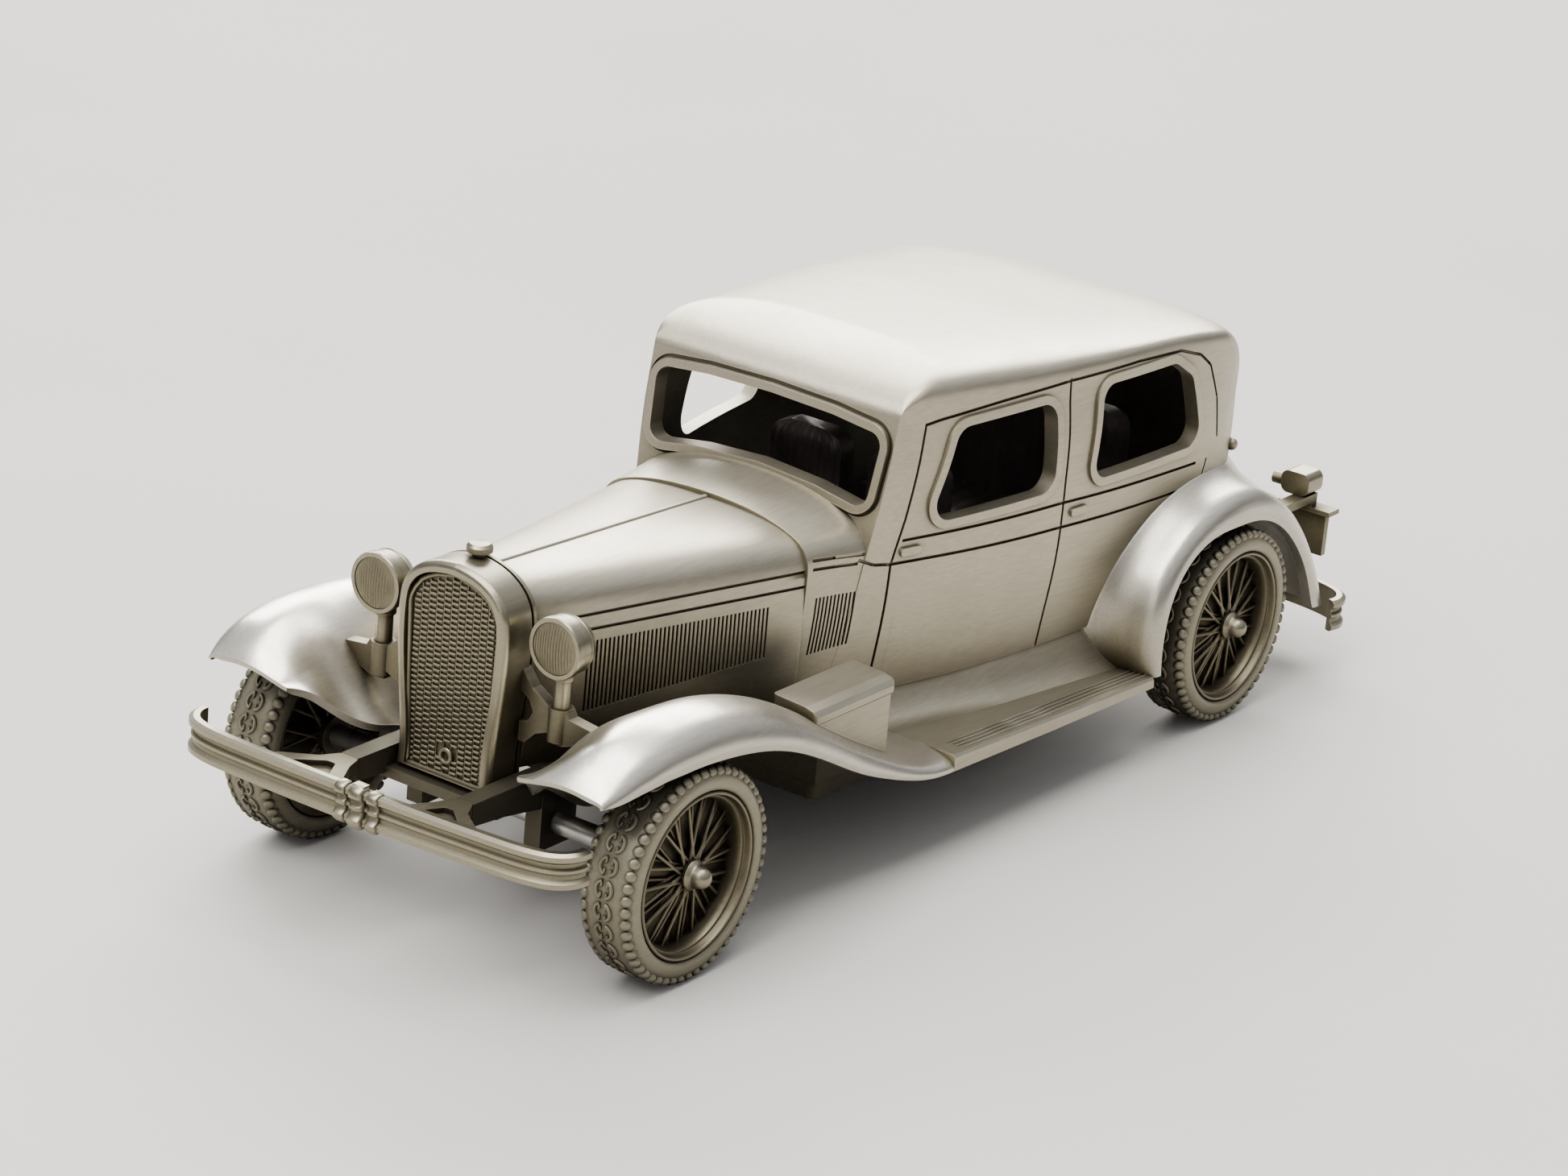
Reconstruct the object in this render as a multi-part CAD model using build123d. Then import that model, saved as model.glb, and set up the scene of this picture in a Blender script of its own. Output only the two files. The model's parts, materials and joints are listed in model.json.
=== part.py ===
from build123d import *
import math
import os

os.makedirs("parts", exist_ok=True)

# ---------------------------------------------------------------- sizes (mm)
# Pewter collector model at 1:43 of a four-door saloon with a 2.92 m wheelbase.
# Y runs front (-) to rear (+), X is across (+X is the car's left side).
wheelbase = 68.0
shift_y = -2.63             # moves the mid-wheelbase datum so the whole model is centred
tyre_radius = 7.88
tyre_width = 4.3
tyre_outer_x = 18.3
rim_radius = 6.05
rim_width = 3.3
axle_radius = 0.8
bearing_clearance = 0.05
wall = 1.0
groove_depth = 0.24
groove_width = 0.24
bead_height = 0.22
screen_bead = 0.36
screen_radius = 1.1
window_frame = 0.68
vent_count = 11
fender_thickness = 0.85
front_axle_y = -wheelbase / 2
rear_axle_y = wheelbase / 2
axle_z = tyre_radius
tyre_mid_x = tyre_outer_x - tyre_width / 2
sill_z = 10.3
belt_z = 20.5
windscreen_low = (-5.95, 24.4)
windscreen_high = (-4.75, 31.1)
cowl_front_y = -11.8
bonnet_front_y = -36.3

parts = {}


# ------------------------------------------------------------ small helpers
def pchip(table, v):
    """Smooth, non-overshooting interpolation through (key, value) pairs."""
    n = len(table)
    if v <= table[0][0]:
        return table[0][1]
    if v >= table[-1][0]:
        return table[-1][1]
    h = [table[i + 1][0] - table[i][0] for i in range(n - 1)]
    s = [(table[i + 1][1] - table[i][1]) / h[i] for i in range(n - 1)]
    d = [s[0]]
    for i in range(1, n - 1):
        if s[i - 1] * s[i] <= 0:
            d.append(0.0)
        else:
            w1 = 2 * h[i] + h[i - 1]
            w2 = h[i] + 2 * h[i - 1]
            d.append((w1 + w2) / (w1 / s[i - 1] + w2 / s[i]))
    d.append(s[-1])
    i = 0
    while v > table[i + 1][0]:
        i += 1
    t = (v - table[i][0]) / h[i]
    a = (1 + 2 * t) * (1 - t) ** 2
    b = t * (1 - t) ** 2
    c = t * t * (3 - 2 * t)
    e = t * t * (t - 1)
    return a * table[i][1] + b * h[i] * d[i] + c * table[i + 1][1] + e * h[i] * d[i + 1]


def box(x0, x1, y0, y1, z0, z1):
    """Block between two corners."""
    size = (abs(x1 - x0), abs(y1 - y0), abs(z1 - z0))
    return Pos((x0 + x1) / 2, (y0 + y1) / 2, (z0 + z1) / 2) * Box(*size)


def along_x(points, x0, x1, radius=0.0):
    """Prism along X from a (y, z) outline, corners rounded by radius."""
    face = make_face(Polyline(*[(0, p[0], p[1]) for p in points], close=True)).face()
    if radius > 0:
        face = face.fillet_2d(radius, face.vertices())
    return Pos(x0, 0, 0) * extrude(face, amount=x1 - x0, dir=(1, 0, 0))


def along_y(points, y0, y1, radius=0.0):
    """Prism along Y from an (x, z) outline, corners rounded by radius."""
    face = make_face(Polyline(*[(p[0], 0, p[1]) for p in points], close=True)).face()
    if radius > 0:
        face = face.fillet_2d(radius, face.vertices())
    return Pos(0, y0, 0) * extrude(face, amount=y1 - y0, dir=(0, 1, 0))


def line_x(points, width, x0=-25, x1=25):
    """Thin strip along X following a (y, z) line: used to scribe panel lines."""
    out = None
    for i in range(len(points) - 1):
        (ya, za), (yb, zb) = points[i], points[i + 1]
        length = math.hypot(yb - ya, zb - za)
        ny = -(zb - za) / length * width / 2
        nz = (yb - ya) / length * width / 2
        quad = [(ya + ny, za + nz), (yb + ny, zb + nz), (yb - ny, zb - nz), (ya - ny, za - nz)]
        piece = along_x(quad, x0, x1)
        out = piece if out is None else out + piece
    return out


def loop_x(points, width, radius, x0=-25, x1=25):
    """Closed band of constant width around a (y, z) outline."""
    face = make_face(Polyline(*[(0, p[0], p[1]) for p in points], close=True)).face()
    face = face.fillet_2d(radius, face.vertices())
    big = offset(face, amount=width)
    ring = big - face
    return Pos(x0, 0, 0) * extrude(ring, amount=x1 - x0, dir=(1, 0, 0))


def grown(points, amount):
    """Closed anticlockwise outline moved outward by amount."""
    out = []
    for i in range(len(points)):
        (xa, za), (xb, zb), (xc, zc) = points[i - 1], points[i], points[(i + 1) % len(points)]
        before = math.hypot(xb - xa, zb - za)
        after = math.hypot(xc - xb, zc - zb)
        n1 = ((zb - za) / before, (xa - xb) / before)
        n2 = ((zc - zb) / after, (xb - xc) / after)
        k = amount / (1 + n1[0] * n2[0] + n1[1] * n2[1])
        out.append((xb + (n1[0] + n2[0]) * k, zb + (n1[1] + n2[1]) * k))
    return out


def section_face(y, half_points, bottom_z):
    """Closed section at one Y station: spline over the top, straight line below."""
    pts = [Vector(x, y, z) for x, z in half_points]
    mirror_pts = [Vector(-x, y, z) for x, z in reversed(half_points[:-1])]
    edge_top = Spline(*(pts + mirror_pts))
    edge_low = Line(Vector(-half_points[0][0], y, bottom_z), Vector(half_points[0][0], y, bottom_z))
    return make_face([edge_top, edge_low])


def both_sides(name, solid):
    """A left node (+X) and its mirror image for the right side."""
    parts[name + "_left"] = solid
    parts[name + "_right"] = mirror(solid, about=Plane.YZ)


# ------------------------------------------------------------- cabin surface
plan_width = [(-12.0, 9.35), (-8.0, 10.05), (-5.0, 10.8), (0.0, 12.05), (4.0, 12.95), (9.0, 13.75),
              (13.5, 14.25), (22.0, 14.75), (30.0, 14.75), (35.0, 14.4), (38.0, 13.45), (40.0, 12.0),
              (41.2, 9.6)]
roof_height = [(-9.0, 34.4), (-5.0, 34.8), (-2.0, 34.8), (3.0, 34.6), (8.0, 34.25), (13.0, 33.85),
               (18.0, 33.45), (23.0, 32.95), (28.0, 32.45), (32.0, 32.0), (35.0, 31.5), (38.0, 30.4),
               (40.0, 27.9), (41.2, 24.5)]
drip_height = [(-9.0, 32.4), (-3.0, 32.2), (3.0, 31.6), (13.0, 31.1), (26.0, 30.8), (32.0, 30.0), (36.0, 28.7),
               (39.0, 25.2), (41.2, 21.0)]
side_shape = [(9.0, -1.25), (11.0, -1.05), (14.0, -0.6), (18.0, -0.12), (21.0, 0.0), (26.0, -0.02),
              (29.0, -0.2), (31.5, -0.5)]
front_flare = [(-9.0, 0.75), (-3.0, 0.65), (3.0, 0.2), (8.0, 0.0)]
cabin_stations = [-9.0, -4.5, 0.0, 5.0, 11.0, 17.0, 23.0, 28.0, 32.0, 35.0, 37.5, 39.3, 40.5, 41.2]


def cabin(inset, bottom_z, stations, roof_extra=0.0):
    """Smooth greenhouse and body volume, pulled inward by inset."""
    faces = []
    for y in stations:
        w = pchip(plan_width, y) - inset
        top = pchip(roof_height, y) - inset - roof_extra
        drip = pchip(drip_height, y) - inset * 0.6
        flare = pchip(front_flare, y) / (drip - belt_z)
        pts = []
        for k in range(6):
            z = bottom_z + (drip - bottom_z) * k / 6
            pts.append((w + pchip(side_shape, z) + flare * max(z - belt_z, 0.0), z))
        xd = w + pchip(side_shape, drip) + flare * (drip - belt_z)
        pts.append((xd, drip))
        for k in range(1, 7):
            a = math.radians(15 * k)
            x = xd * max(math.cos(a), 0.0) ** 0.62
            z = drip + (top - drip) * math.sin(a) ** 0.44
            pts.append((x if k < 6 else 0.0, z))
        faces.append(section_face(y, pts, bottom_z))
    return loft(faces)


def cowl_points(y, inset):
    """Half section of the scuttle ahead of the windscreen."""
    w = pchip(plan_width, y) - inset
    top = 24.95 + 0.105 * (y - cowl_front_y) - inset
    return [(w + pchip(side_shape, sill_z), sill_z), (w - 0.65, 13.5), (w - 0.12, 18.0),
            (w, 21.0), (w - 0.12, 22.3), (w - 0.75, 23.25), (w * 0.76, 22.9 + (top - 22.9) * 0.55),
            (w * 0.5, 22.9 + (top - 22.9) * 0.84), (w * 0.22, 22.9 + (top - 22.9) * 0.97), (0.0, top)]


def cowl(inset, y0, y1):
    faces = []
    for k in range(4):
        y = y0 + (y1 - y0) * k / 3
        faces.append(section_face(y, cowl_points(y, inset), sill_z))
    return loft(faces)


# ------------------------------------------------------------ bonnet surface
def bonnet_points(y, inset):
    """Half section of the engine cover; the top folds to a centre hinge line."""
    t = (y - bonnet_front_y) / (cowl_front_y - bonnet_front_y)
    w = 4.35 + (9.2 - 4.35) * t - inset
    ridge = 25.55 - 0.95 * t - inset
    edge = 22.4 - 0.6 * t
    low = 12.0 - 1.2 * t
    return [(w - 0.25, low), (w, low + 2.5), (w + 0.08, 18.0), (w + 0.02, edge - 1.0),
            (w - 0.1, edge), (w * 0.92, edge + (ridge - edge) * 0.45), (w * 0.75, edge + (ridge - edge) * 0.76),
            (w * 0.44, edge + (ridge - edge) * 0.95), (0.0, ridge)], low


def bonnet(inset, y0=bonnet_front_y, y1=cowl_front_y):
    faces = []
    for k in range(4):
        y = y0 + (y1 - y0) * k / 3
        pts, low = bonnet_points(y, inset)
        faces.append(section_face(y, pts, low))
    return loft(faces)


# ------------------------------------------------------------------ body shell
cabin_outer = cabin(0.0, sill_z, cabin_stations)
cabin_groove = cabin(groove_depth, sill_z - 1, cabin_stations[:-1] + [40.9])
cabin_bead = cabin(-bead_height, sill_z, cabin_stations)
cabin_inner = cabin(wall, sill_z - 2, [-9.0, -4.5, 0.0, 5.0, 11.0, 17.0, 23.0, 28.0, 32.0, 35.0, 37.5, 39.6])
header = [(-4.634, 31.75), (-4.35, 32.35), (-3.65, 32.98), (-2.4, 33.55), (-0.8, 34.02), (1.2, 34.4), (4.0, 34.8)]
rake_corner = (windscreen_low[0] - 2.73, 9.0)
front_outline = [(0, y, z) for y, z in (header[-1], (8.0, 35.6), (8.0, 38.0), (-20.0, 38.0), (-20.0, 9.0), rake_corner,
                                        header[0])]
rake_edges = [Spline(*[(0, y, z) for y, z in header])]
for k in range(len(front_outline) - 1):
    rake_edges.append(Line(front_outline[k], front_outline[k + 1]))
front_cut = Pos(-25, 0, 0) * extrude(make_face(rake_edges).face(), amount=50, dir=(1, 0, 0))
rake_inside = [(-7.58, 9.0), (-3.6, 31.4), (-3.2, 31.85), (-2.0, 32.45), (-0.2, 33.0), (3.0, 33.8), (6.0, 34.8),
               (6.0, 36.0), (-20.0, 36.0), (-20.0, 9.0)]
cowl_outer = cowl(0.0, cowl_front_y, -3.0)
cowl_inner = cowl(wall, cowl_front_y - 1, -2.9)

door_window = [(-1.25, 23.3), (11.8, 23.4), (11.6, 30.3), (1.2, 30.2)]
rear_window = [(16.4, 23.2), (31.0, 22.9), (29.0, 28.7), (26.6, 30.2), (17.2, 30.4)]
screen = [(-9.8, 24.9), (-5.2, 25.6), (0.0, 25.9), (5.2, 25.6), (9.8, 24.9), (10.2, 30.4), (5.6, 30.85), (0.0, 31.0),
          (-5.6, 30.85), (-10.2, 30.4)]
back_light = [(-4.6, 25.2), (4.6, 25.2), (4.2, 28.4), (-4.2, 28.4)]


shell = (cabin_outer - front_cut) + cowl_outer
cavity = cabin_inner - along_x(rake_inside, -25, 25)
shell = shell - cavity
shell = shell - cowl_inner
for outline, r in ((door_window, 1.5), (rear_window, 1.4)):
    shell = shell - along_x(outline, -25, 25, r)
shell = shell - along_y(screen, -12, 2, screen_radius)
shell = shell - along_y(back_light, 36, 45, 0.9)

# window surrounds: raised mouldings
rings = loop_x(door_window, window_frame, 1.5) + loop_x(rear_window, window_frame, 1.4)
rings = rings & (cabin_bead - cabin_groove)
shell = shell + rings
screen_face = make_face(Polyline(*[(p[0], 0, p[1]) for p in screen], close=True)).face()
screen_face = screen_face.fillet_2d(screen_radius, screen_face.vertices())
screen_ring = offset(screen_face, amount=0.6) - screen_face
screen_frame = extrude(screen_ring, amount=8, dir=(0, 1, 0))
slab = along_x([(windscreen_low[0] - 2.73 - screen_bead, 9.0), (windscreen_high[0] + 0.2 - screen_bead, 32.2),
                (windscreen_high[0] + 1.0, 32.2), (windscreen_low[0] - 2.0, 9.0)], -25, 25)
screen_frame = (Pos(0, -8, 0) * screen_frame) & slab
moat = along_y(grown(screen, 0.86), -9, 0, screen_radius + 0.86) - along_y(grown(screen, 0.55), -10, 1, screen_radius + 0.55)
moat_slab = along_x([(rake_corner[0] - 1.0, 9.0), (windscreen_high[0] - 0.85, 32.2),
                     (windscreen_high[0] + 0.42, 32.2), (rake_corner[0] + 0.22, 9.0)], -25, 25)
moat = (moat & moat_slab) - cowl_outer
shell = shell - moat
shell = shell + screen_frame

# panel lines: doors, belt, gutter, sill
door_front = [(-2.0, 31.05), (-3.2, 24.0), (-4.0, 20.6), (-4.0, 10.2)]
door_rear = [(13.3, 31.7), (13.3, 10.2)]
belt_low = [(-7.0, 21.5), (-5.6, 20.9), (-4.0, 20.65), (13.0, 20.15), (31.0, 19.3), (32.2, 20.0), (32.6, 21.2)]
scuttle_high = [(-11.3, 22.25), (-6.4, 21.85)]
scuttle_low = [(-11.3, 21.6), (-7.0, 21.25)]
belt_high = [(-3.2, 22.35), (13.0, 22.1), (31.0, 21.2)]
gutter = [(-2.05, 30.95), (-0.5, 31.1), (6.0, 31.35), (13.3, 31.5), (22.0, 31.3), (27.6, 30.9), (30.4, 30.0),
          (31.9, 28.9), (33.2, 26.0), (34.0, 22.6)]
lines = line_x(door_front, groove_width)
for path in (door_rear, belt_low, belt_high, gutter, scuttle_high, scuttle_low):
    lines = lines + line_x(path, groove_width)
lines = lines & box(-30, 30, -30, 60, 10.2, 33)
lines = lines - cabin_groove
cowl_groove = cowl(groove_depth, cowl_front_y - 0.5, -2.9)
lines = lines - (cowl_groove - front_cut) - cowl_groove
shell = shell - lines

# scuttle vents and door handles
vents = None
for k in range(vent_count):
    y = -10.7 + 0.36 * k
    slit = box(6, 14, y, y + 0.18, 14.8 + 0.015 * k, 19.3 - 0.02 * k)
    vents = slit if vents is None else vents + slit
vents = vents + mirror(vents, about=Plane.YZ)
shell = shell - (vents - cowl_groove)
handle_outline = [(-0.95, -0.32), (0.95, -0.32), (0.95, 0.32), (-0.95, 0.32)]
for hy, hz in ((-2.4, 21.45), (15.1, 21.1)):
    pad = along_x([(hy + a, hz + b) for a, b in handle_outline], -25, 25, 0.3)
    shell = shell + (pad & (cabin_bead - cabin_groove))

# rear corner buffers
for side in (1, -1):
    shell = shell + (Pos(side * 13.45, 38.3, 20.7) * Sphere(0.5))

# rear wheel recess in the body sides
for side in (1, -1):
    well = Pos(side * 19.4, rear_axle_y, axle_z) * Rot(0, 90, 0) * Cylinder(8.7, 12)
    shell = shell - well
parts["body_shell"] = shell.solids().sort_by(SortBy.VOLUME)[-1]
# -------------------------------------------------------------------- bonnet
bonnet_outer = bonnet(0.0)
bonnet_groove = bonnet(groove_depth, bonnet_front_y - 1, cowl_front_y + 1)
cover = bonnet_outer - bonnet(wall, bonnet_front_y + 0.9, cowl_front_y + 1)
bonnet_top = (22.55, 21.85)
strip_high = [(bonnet_front_y + 1.2, bonnet_top[0] - 0.2), (cowl_front_y, bonnet_top[1] - 0.35)]
strip_low = [(bonnet_front_y + 1.2, bonnet_top[0] - 1.25), (cowl_front_y, bonnet_top[1] - 1.45)]
cuts = line_x(strip_high, 0.22) + line_x(strip_low, 0.22)
slat_count = 44
slat_pitch = 16.5 / slat_count
for k in range(slat_count):
    y = -31.4 + slat_pitch * k
    f = k / slat_count
    cuts = cuts + box(-14, 14, y, y + slat_pitch * 0.5, 15.1 + 0.6 * f, 20.3 - 0.8 * f)
cover = cover - (cuts - bonnet_groove)
ridge_a = Vector(0, bonnet_front_y + 0.2, 25.46)
ridge_b = Vector(0, cowl_front_y - 0.1, 24.51)
hinge_rod = sweep(Plane(origin=ridge_a, z_dir=(ridge_b - ridge_a)) * Circle(0.26), path=Line(ridge_a, ridge_b))
cover = cover + hinge_rod
parts["bonnet"] = cover


# --------------------------------------------------- radiator shell and grille
def shell_outline(grow):
    """Front outline of the radiator shell: tall sides under a low arched top."""
    lo = 10.85 - 0.25 * grow
    pts = [(3.75 + grow, lo), (4.1 + grow, 17.0), (4.35 + grow, 22.6), (4.1 + grow * 0.9, 23.9 + grow * 0.4),
           (3.25 + grow * 0.6, 25.0 + grow * 0.7), (1.7, 25.75 + grow), (0.0, 26.0 + grow)]
    side = Spline(*[(x, 0, z) for x, z in pts])
    low = Line((-(3.75 + grow), 0, lo), (3.75 + grow, 0, lo))
    other = mirror(side, about=Plane.YZ)
    return make_face([side, other, low]).face()


rad_front_y = -39.6
outer_face = shell_outline(0.45)
opening_face = shell_outline(-0.35)
rad_depth = bonnet_front_y - 0.02 - rad_front_y
rad = Pos(0, rad_front_y + 0.45, 0) * extrude(outer_face, amount=rad_depth - 0.45, dir=(0, 1, 0))
nose = [Pos(0, rad_front_y + d, 0) * shell_outline(g) for d, g in ((0.0, 0.0), (0.06, 0.2), (0.2, 0.36), (0.45, 0.45))]
rad = rad + loft(nose)
rad = rad - (Pos(0, rad_front_y - 1, 0) * extrude(opening_face, amount=2.0, dir=(0, 1, 0)))
rad = rad - (Pos(0, rad_front_y - 1, 0) * extrude(shell_outline(-0.75), amount=6.0, dir=(0, 1, 0)))
seam = Pos(0, bonnet_front_y - 0.55, 0) * extrude(shell_outline(1.2) - shell_outline(0.2), amount=0.25, dir=(0, 1, 0))
rad = rad - seam
parts["radiator_shell"] = rad

grille = Pos(0, rad_front_y + 0.45, 0) * extrude(shell_outline(-0.38), amount=0.54, dir=(0, 1, 0))
rim_bead = shell_outline(-0.38) - shell_outline(-0.62)
grille = grille + (Pos(0, rad_front_y + 0.2, 0) * extrude(rim_bead, amount=0.3, dir=(0, 1, 0)))
column_count = 11
column_pitch = 7.0 / column_count
inside = Pos(0, rad_front_y, 0) * extrude(shell_outline(-0.85), amount=2, dir=(0, 1, 0))
gaps = None
for k in range(1, column_count):
    x = -3.5 + column_pitch * k
    slot = box(x - 0.07, x + 0.07, rad_front_y + 0.3, rad_front_y + 0.65, 9, 28)
    gaps = slot if gaps is None else gaps + slot
grille = grille - (gaps & inside)
grille = grille + (Pos(0, rad_front_y + 0.45, 12.4) * Rot(90, 0, 0) * Cylinder(0.62, 0.3))
crank_hole = Pos(0, rad_front_y + 0.7, 12.4) * Rot(90, 0, 0) * Cylinder(0.4, 1.4)
grille = grille - crank_hole
parts["radiator_grille"] = grille

cap_profile = [(0, 25.6), (0.95, 25.6), (0.95, 26.05), (0.5, 26.2), (0.5, 26.62), (0.92, 26.78), (0.92, 27.15),
               (0.72, 27.36), (0, 27.45)]
cap_face = make_face(Polyline(*[(x, 0, z) for x, z in cap_profile], close=True))
cap = Pos(0, -37.0, 0) * revolve(cap_face, axis=Axis.Z)
cap = cap - parts["radiator_shell"] - bonnet_outer
parts["radiator_cap"] = cap.solids().sort_by(SortBy.VOLUME)[-1]

# ------------------------------------------------------------------ headlamps
lamp_x = 7.93
lamp_face_y = -38.3
lamp_z = 22.4
lamp_profile = [(0, 0.12), (1.85, 0.12), (1.85, 0.0), (2.15, 0.0), (2.2, 0.15), (2.2, 0.55), (2.1, 0.65),
                (2.1, 1.35), (2.02, 1.42), (2.02, 1.52), (2.1, 1.6), (1.75, 2.25), (1.15, 2.7), (0.5, 2.92), (0, 2.95)]
lamp_face = make_face(Polyline(*[(r, d, 0) for r, d in lamp_profile], close=True))
lamp = revolve(lamp_face, axis=Axis.Y)
lamp = Pos(lamp_x, lamp_face_y, lamp_z) * lamp
post = Pos(lamp_x, lamp_face_y + 1.25, 19.2) * Cylinder(0.62, 4.0)
post_cup = Pos(lamp_x, lamp_face_y + 1.25, 20.3) * Cylinder(0.8, 0.7)
post = (post + post_cup) & box(0, 20, -45, -30, 17.9, 22)
both_sides("headlamp", lamp + post)

# bracket: boss under the lamp, arm out to the fender, looped strut in to the radiator
arm = along_y([(7.2, 17.9), (8.7, 17.9), (9.0, 17.4), (12.3, 17.0), (12.3, 16.2), (9.4, 15.6), (8.6, 15.3), (7.3, 15.3)],
              lamp_face_y + 0.75, lamp_face_y + 1.75)
boss = Pos(lamp_x, lamp_face_y + 1.25, 16.7) * Cylinder(0.85, 2.4)
hoop = along_y([(7.4, 17.7), (6.6, 18.2), (5.7, 18.7), (4.75, 19.9), (4.75, 14.6), (5.3, 14.6), (6.2, 15.5), (7.4, 16.0)],
               lamp_face_y + 0.8, lamp_face_y + 1.7)
eye = along_y([(4.5, 15.9), (5.5, 16.3), (5.9, 17.0), (5.5, 17.8), (4.5, 18.4)], -45, -30, 0.3)
bracket = arm + boss + (hoop - eye)

# --------------------------------------------------------------- front fender
#    y, lip x, lip z, crown z, crown x, foot x, foot z, thickness
front_sections = [
    (-44.2, 17.5, 15.6, 16.2, 14.0, 10.2, 15.6, 0.3),
    (-43.6, 17.75, 15.65, 16.9, 14.1, 9.9, 15.45, 0.55),
    (-42.4, 18.1, 15.85, 17.85, 14.2, 9.4, 14.9, 0.65),
    (-40.9, 18.3, 16.1, 18.5, 14.2, 8.6, 13.7, 0.7),
    (-39.7, 18.38, 16.2, 18.8, 14.2, 7.6, 12.8, 0.75),
    (-38.6, 18.42, 16.3, 19.0, 14.2, 6.6, 12.4, 0.8),
    (-37.4, 18.45, 16.3, 19.15, 14.2, 6.1, 12.2, 0.8),
    (-36.0, 18.45, 16.3, 19.2, 14.2, 6.1, 11.6, 0.8),
    (-32.0, 18.45, 16.05, 19.05, 14.2, 6.2, 9.2, 0.8),
    (-28.0, 18.45, 15.4, 18.25, 14.2, 7.0, 9.4, 0.8),
    (-24.0, 18.45, 14.15, 16.85, 14.2, 7.8, 9.5, 0.8),
    (-20.0, 18.45, 12.25, 14.9, 14.2, 7.6, 9.5, 0.8),
    (-16.0, 18.45, 10.2, 12.65, 14.3, 8.0, 9.4, 0.8),
    (-12.0, 18.45, 8.6, 10.55, 14.6, 8.2, 9.3, 0.8),
    (-8.5, 18.45, 7.5, 9.0, 15.0, 8.7, 8.9, 0.8),
    (-6.0, 18.45, 7.05, 8.35, 15.4, 9.2, 8.34, 0.8),
    (-4.3, 18.45, 6.95, 8.2, 15.6, 9.4, 8.2, 0.8),
]


def fender_curve(row):
    y, lx, lz, cz, cx, fx, fz, thick = row
    rise = cz - lz
    drop = cz - fz
    return [(lx, lz), (lx - 0.12, lz + rise * 0.35), (lx - 0.9, lz + rise * 0.72), (lx - 2.2, lz + rise * 0.94),
            (cx, cz), (cx - (cx - fx) * 0.28, cz - drop * 0.16), (cx - (cx - fx) * 0.55, cz - drop * 0.47),
            (cx - (cx - fx) * 0.8, cz - drop * 0.8), (fx, fz)]


def inset_curve(points, amount):
    """Offset an (x, z) curve downward and inward along its own normals."""
    out = []
    n = len(points)
    for i in range(n):
        a = points[max(i - 1, 0)]
        b = points[min(i + 1, n - 1)]
        dx, dz = b[0] - a[0], b[1] - a[1]
        length = math.hypot(dx, dz)
        out.append((points[i][0] - dz / length * amount, points[i][1] + dx / length * amount))
    return out


def crescent(row, low=None):
    pts = fender_curve(row)
    y = row[0]
    thickness = row[7]
    top = Spline(*[(x, y, z) for x, z in pts])
    if low is not None:
        a, b = pts[0], pts[-1]
        e1 = Line((a[0], y, a[1]), (a[0], y, low))
        e2 = Line((a[0], y, low), (b[0], y, low))
        e3 = Line((b[0], y, low), (b[0], y, b[1]))
        return make_face([top, e1, e2, e3])
    inner = inset_curve(pts, thickness)
    under = Spline(*[(x, y, z) for x, z in inner])
    e1 = Line((pts[0][0], y, pts[0][1]), (inner[0][0], y, inner[0][1]))
    e2 = Line((pts[-1][0], y, pts[-1][1]), (inner[-1][0], y, inner[-1][1]))
    return make_face([top, e1, under, e2])


front_fender = loft([crescent(r) for r in front_sections])
front_fill = loft([crescent(r, low=2.0) for r in front_sections])
radiator_block = Pos(0, rad_front_y, 0) * extrude(outer_face, amount=rad_depth, dir=(0, 1, 0))
body_block = bonnet_outer + cowl_outer + radiator_block
front_fender = front_fender - body_block
front_fender = front_fender.solids().sort_by(SortBy.VOLUME)[-1]
both_sides("front_fender", front_fender)
bracket = bracket - front_fill - parts["radiator_shell"] - parts["bonnet"]
bracket = bracket.solids().sort_by(SortBy.VOLUME)[-1]
both_sides("lamp_bracket", bracket)

# ---------------------------------------------------------------- rear fender
# angle, lip x, lip r, crown x, crown r, shoulder x, shoulder r, root x, root r
rear_sections = [
    (185.0, 18.55, 11.0, 17.2, 12.2, 15.2, 12.5, 12.9, 14.6),
    (175.0, 18.55, 11.2, 17.1, 12.6, 15.2, 13.0, 12.9, 15.2),
    (162.0, 18.55, 11.5, 17.0, 13.0, 15.0, 13.6, 12.9, 15.9),
    (148.0, 18.5, 11.5, 16.9, 13.2, 14.9, 13.9, 13.0, 16.2),
    (133.0, 18.45, 10.9, 16.8, 12.8, 14.8, 13.6, 13.2, 15.8),
    (118.0, 18.4, 9.9, 16.8, 12.1, 14.8, 12.9, 13.4, 14.9),
    (100.0, 18.35, 8.9, 16.7, 11.4, 14.8, 12.2, 13.3, 14.0),
    (80.0, 18.2, 8.6, 16.5, 11.0, 14.6, 11.7, 12.9, 13.2),
    (60.0, 18.1, 8.75, 16.3, 10.95, 14.3, 11.5, 12.3, 12.6),
    (40.0, 18.0, 9.2, 16.1, 11.4, 13.9, 11.9, 11.7, 12.6),
    (22.0, 17.95, 10.0, 16.0, 12.3, 13.6, 12.8, 11.2, 13.2),
    (6.0, 17.95, 11.1, 16.0, 13.7, 13.4, 14.1, 10.8, 14.2),
    (-8.0, 17.95, 12.6, 16.0, 15.5, 13.2, 15.6, 10.6, 15.4),
]


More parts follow.
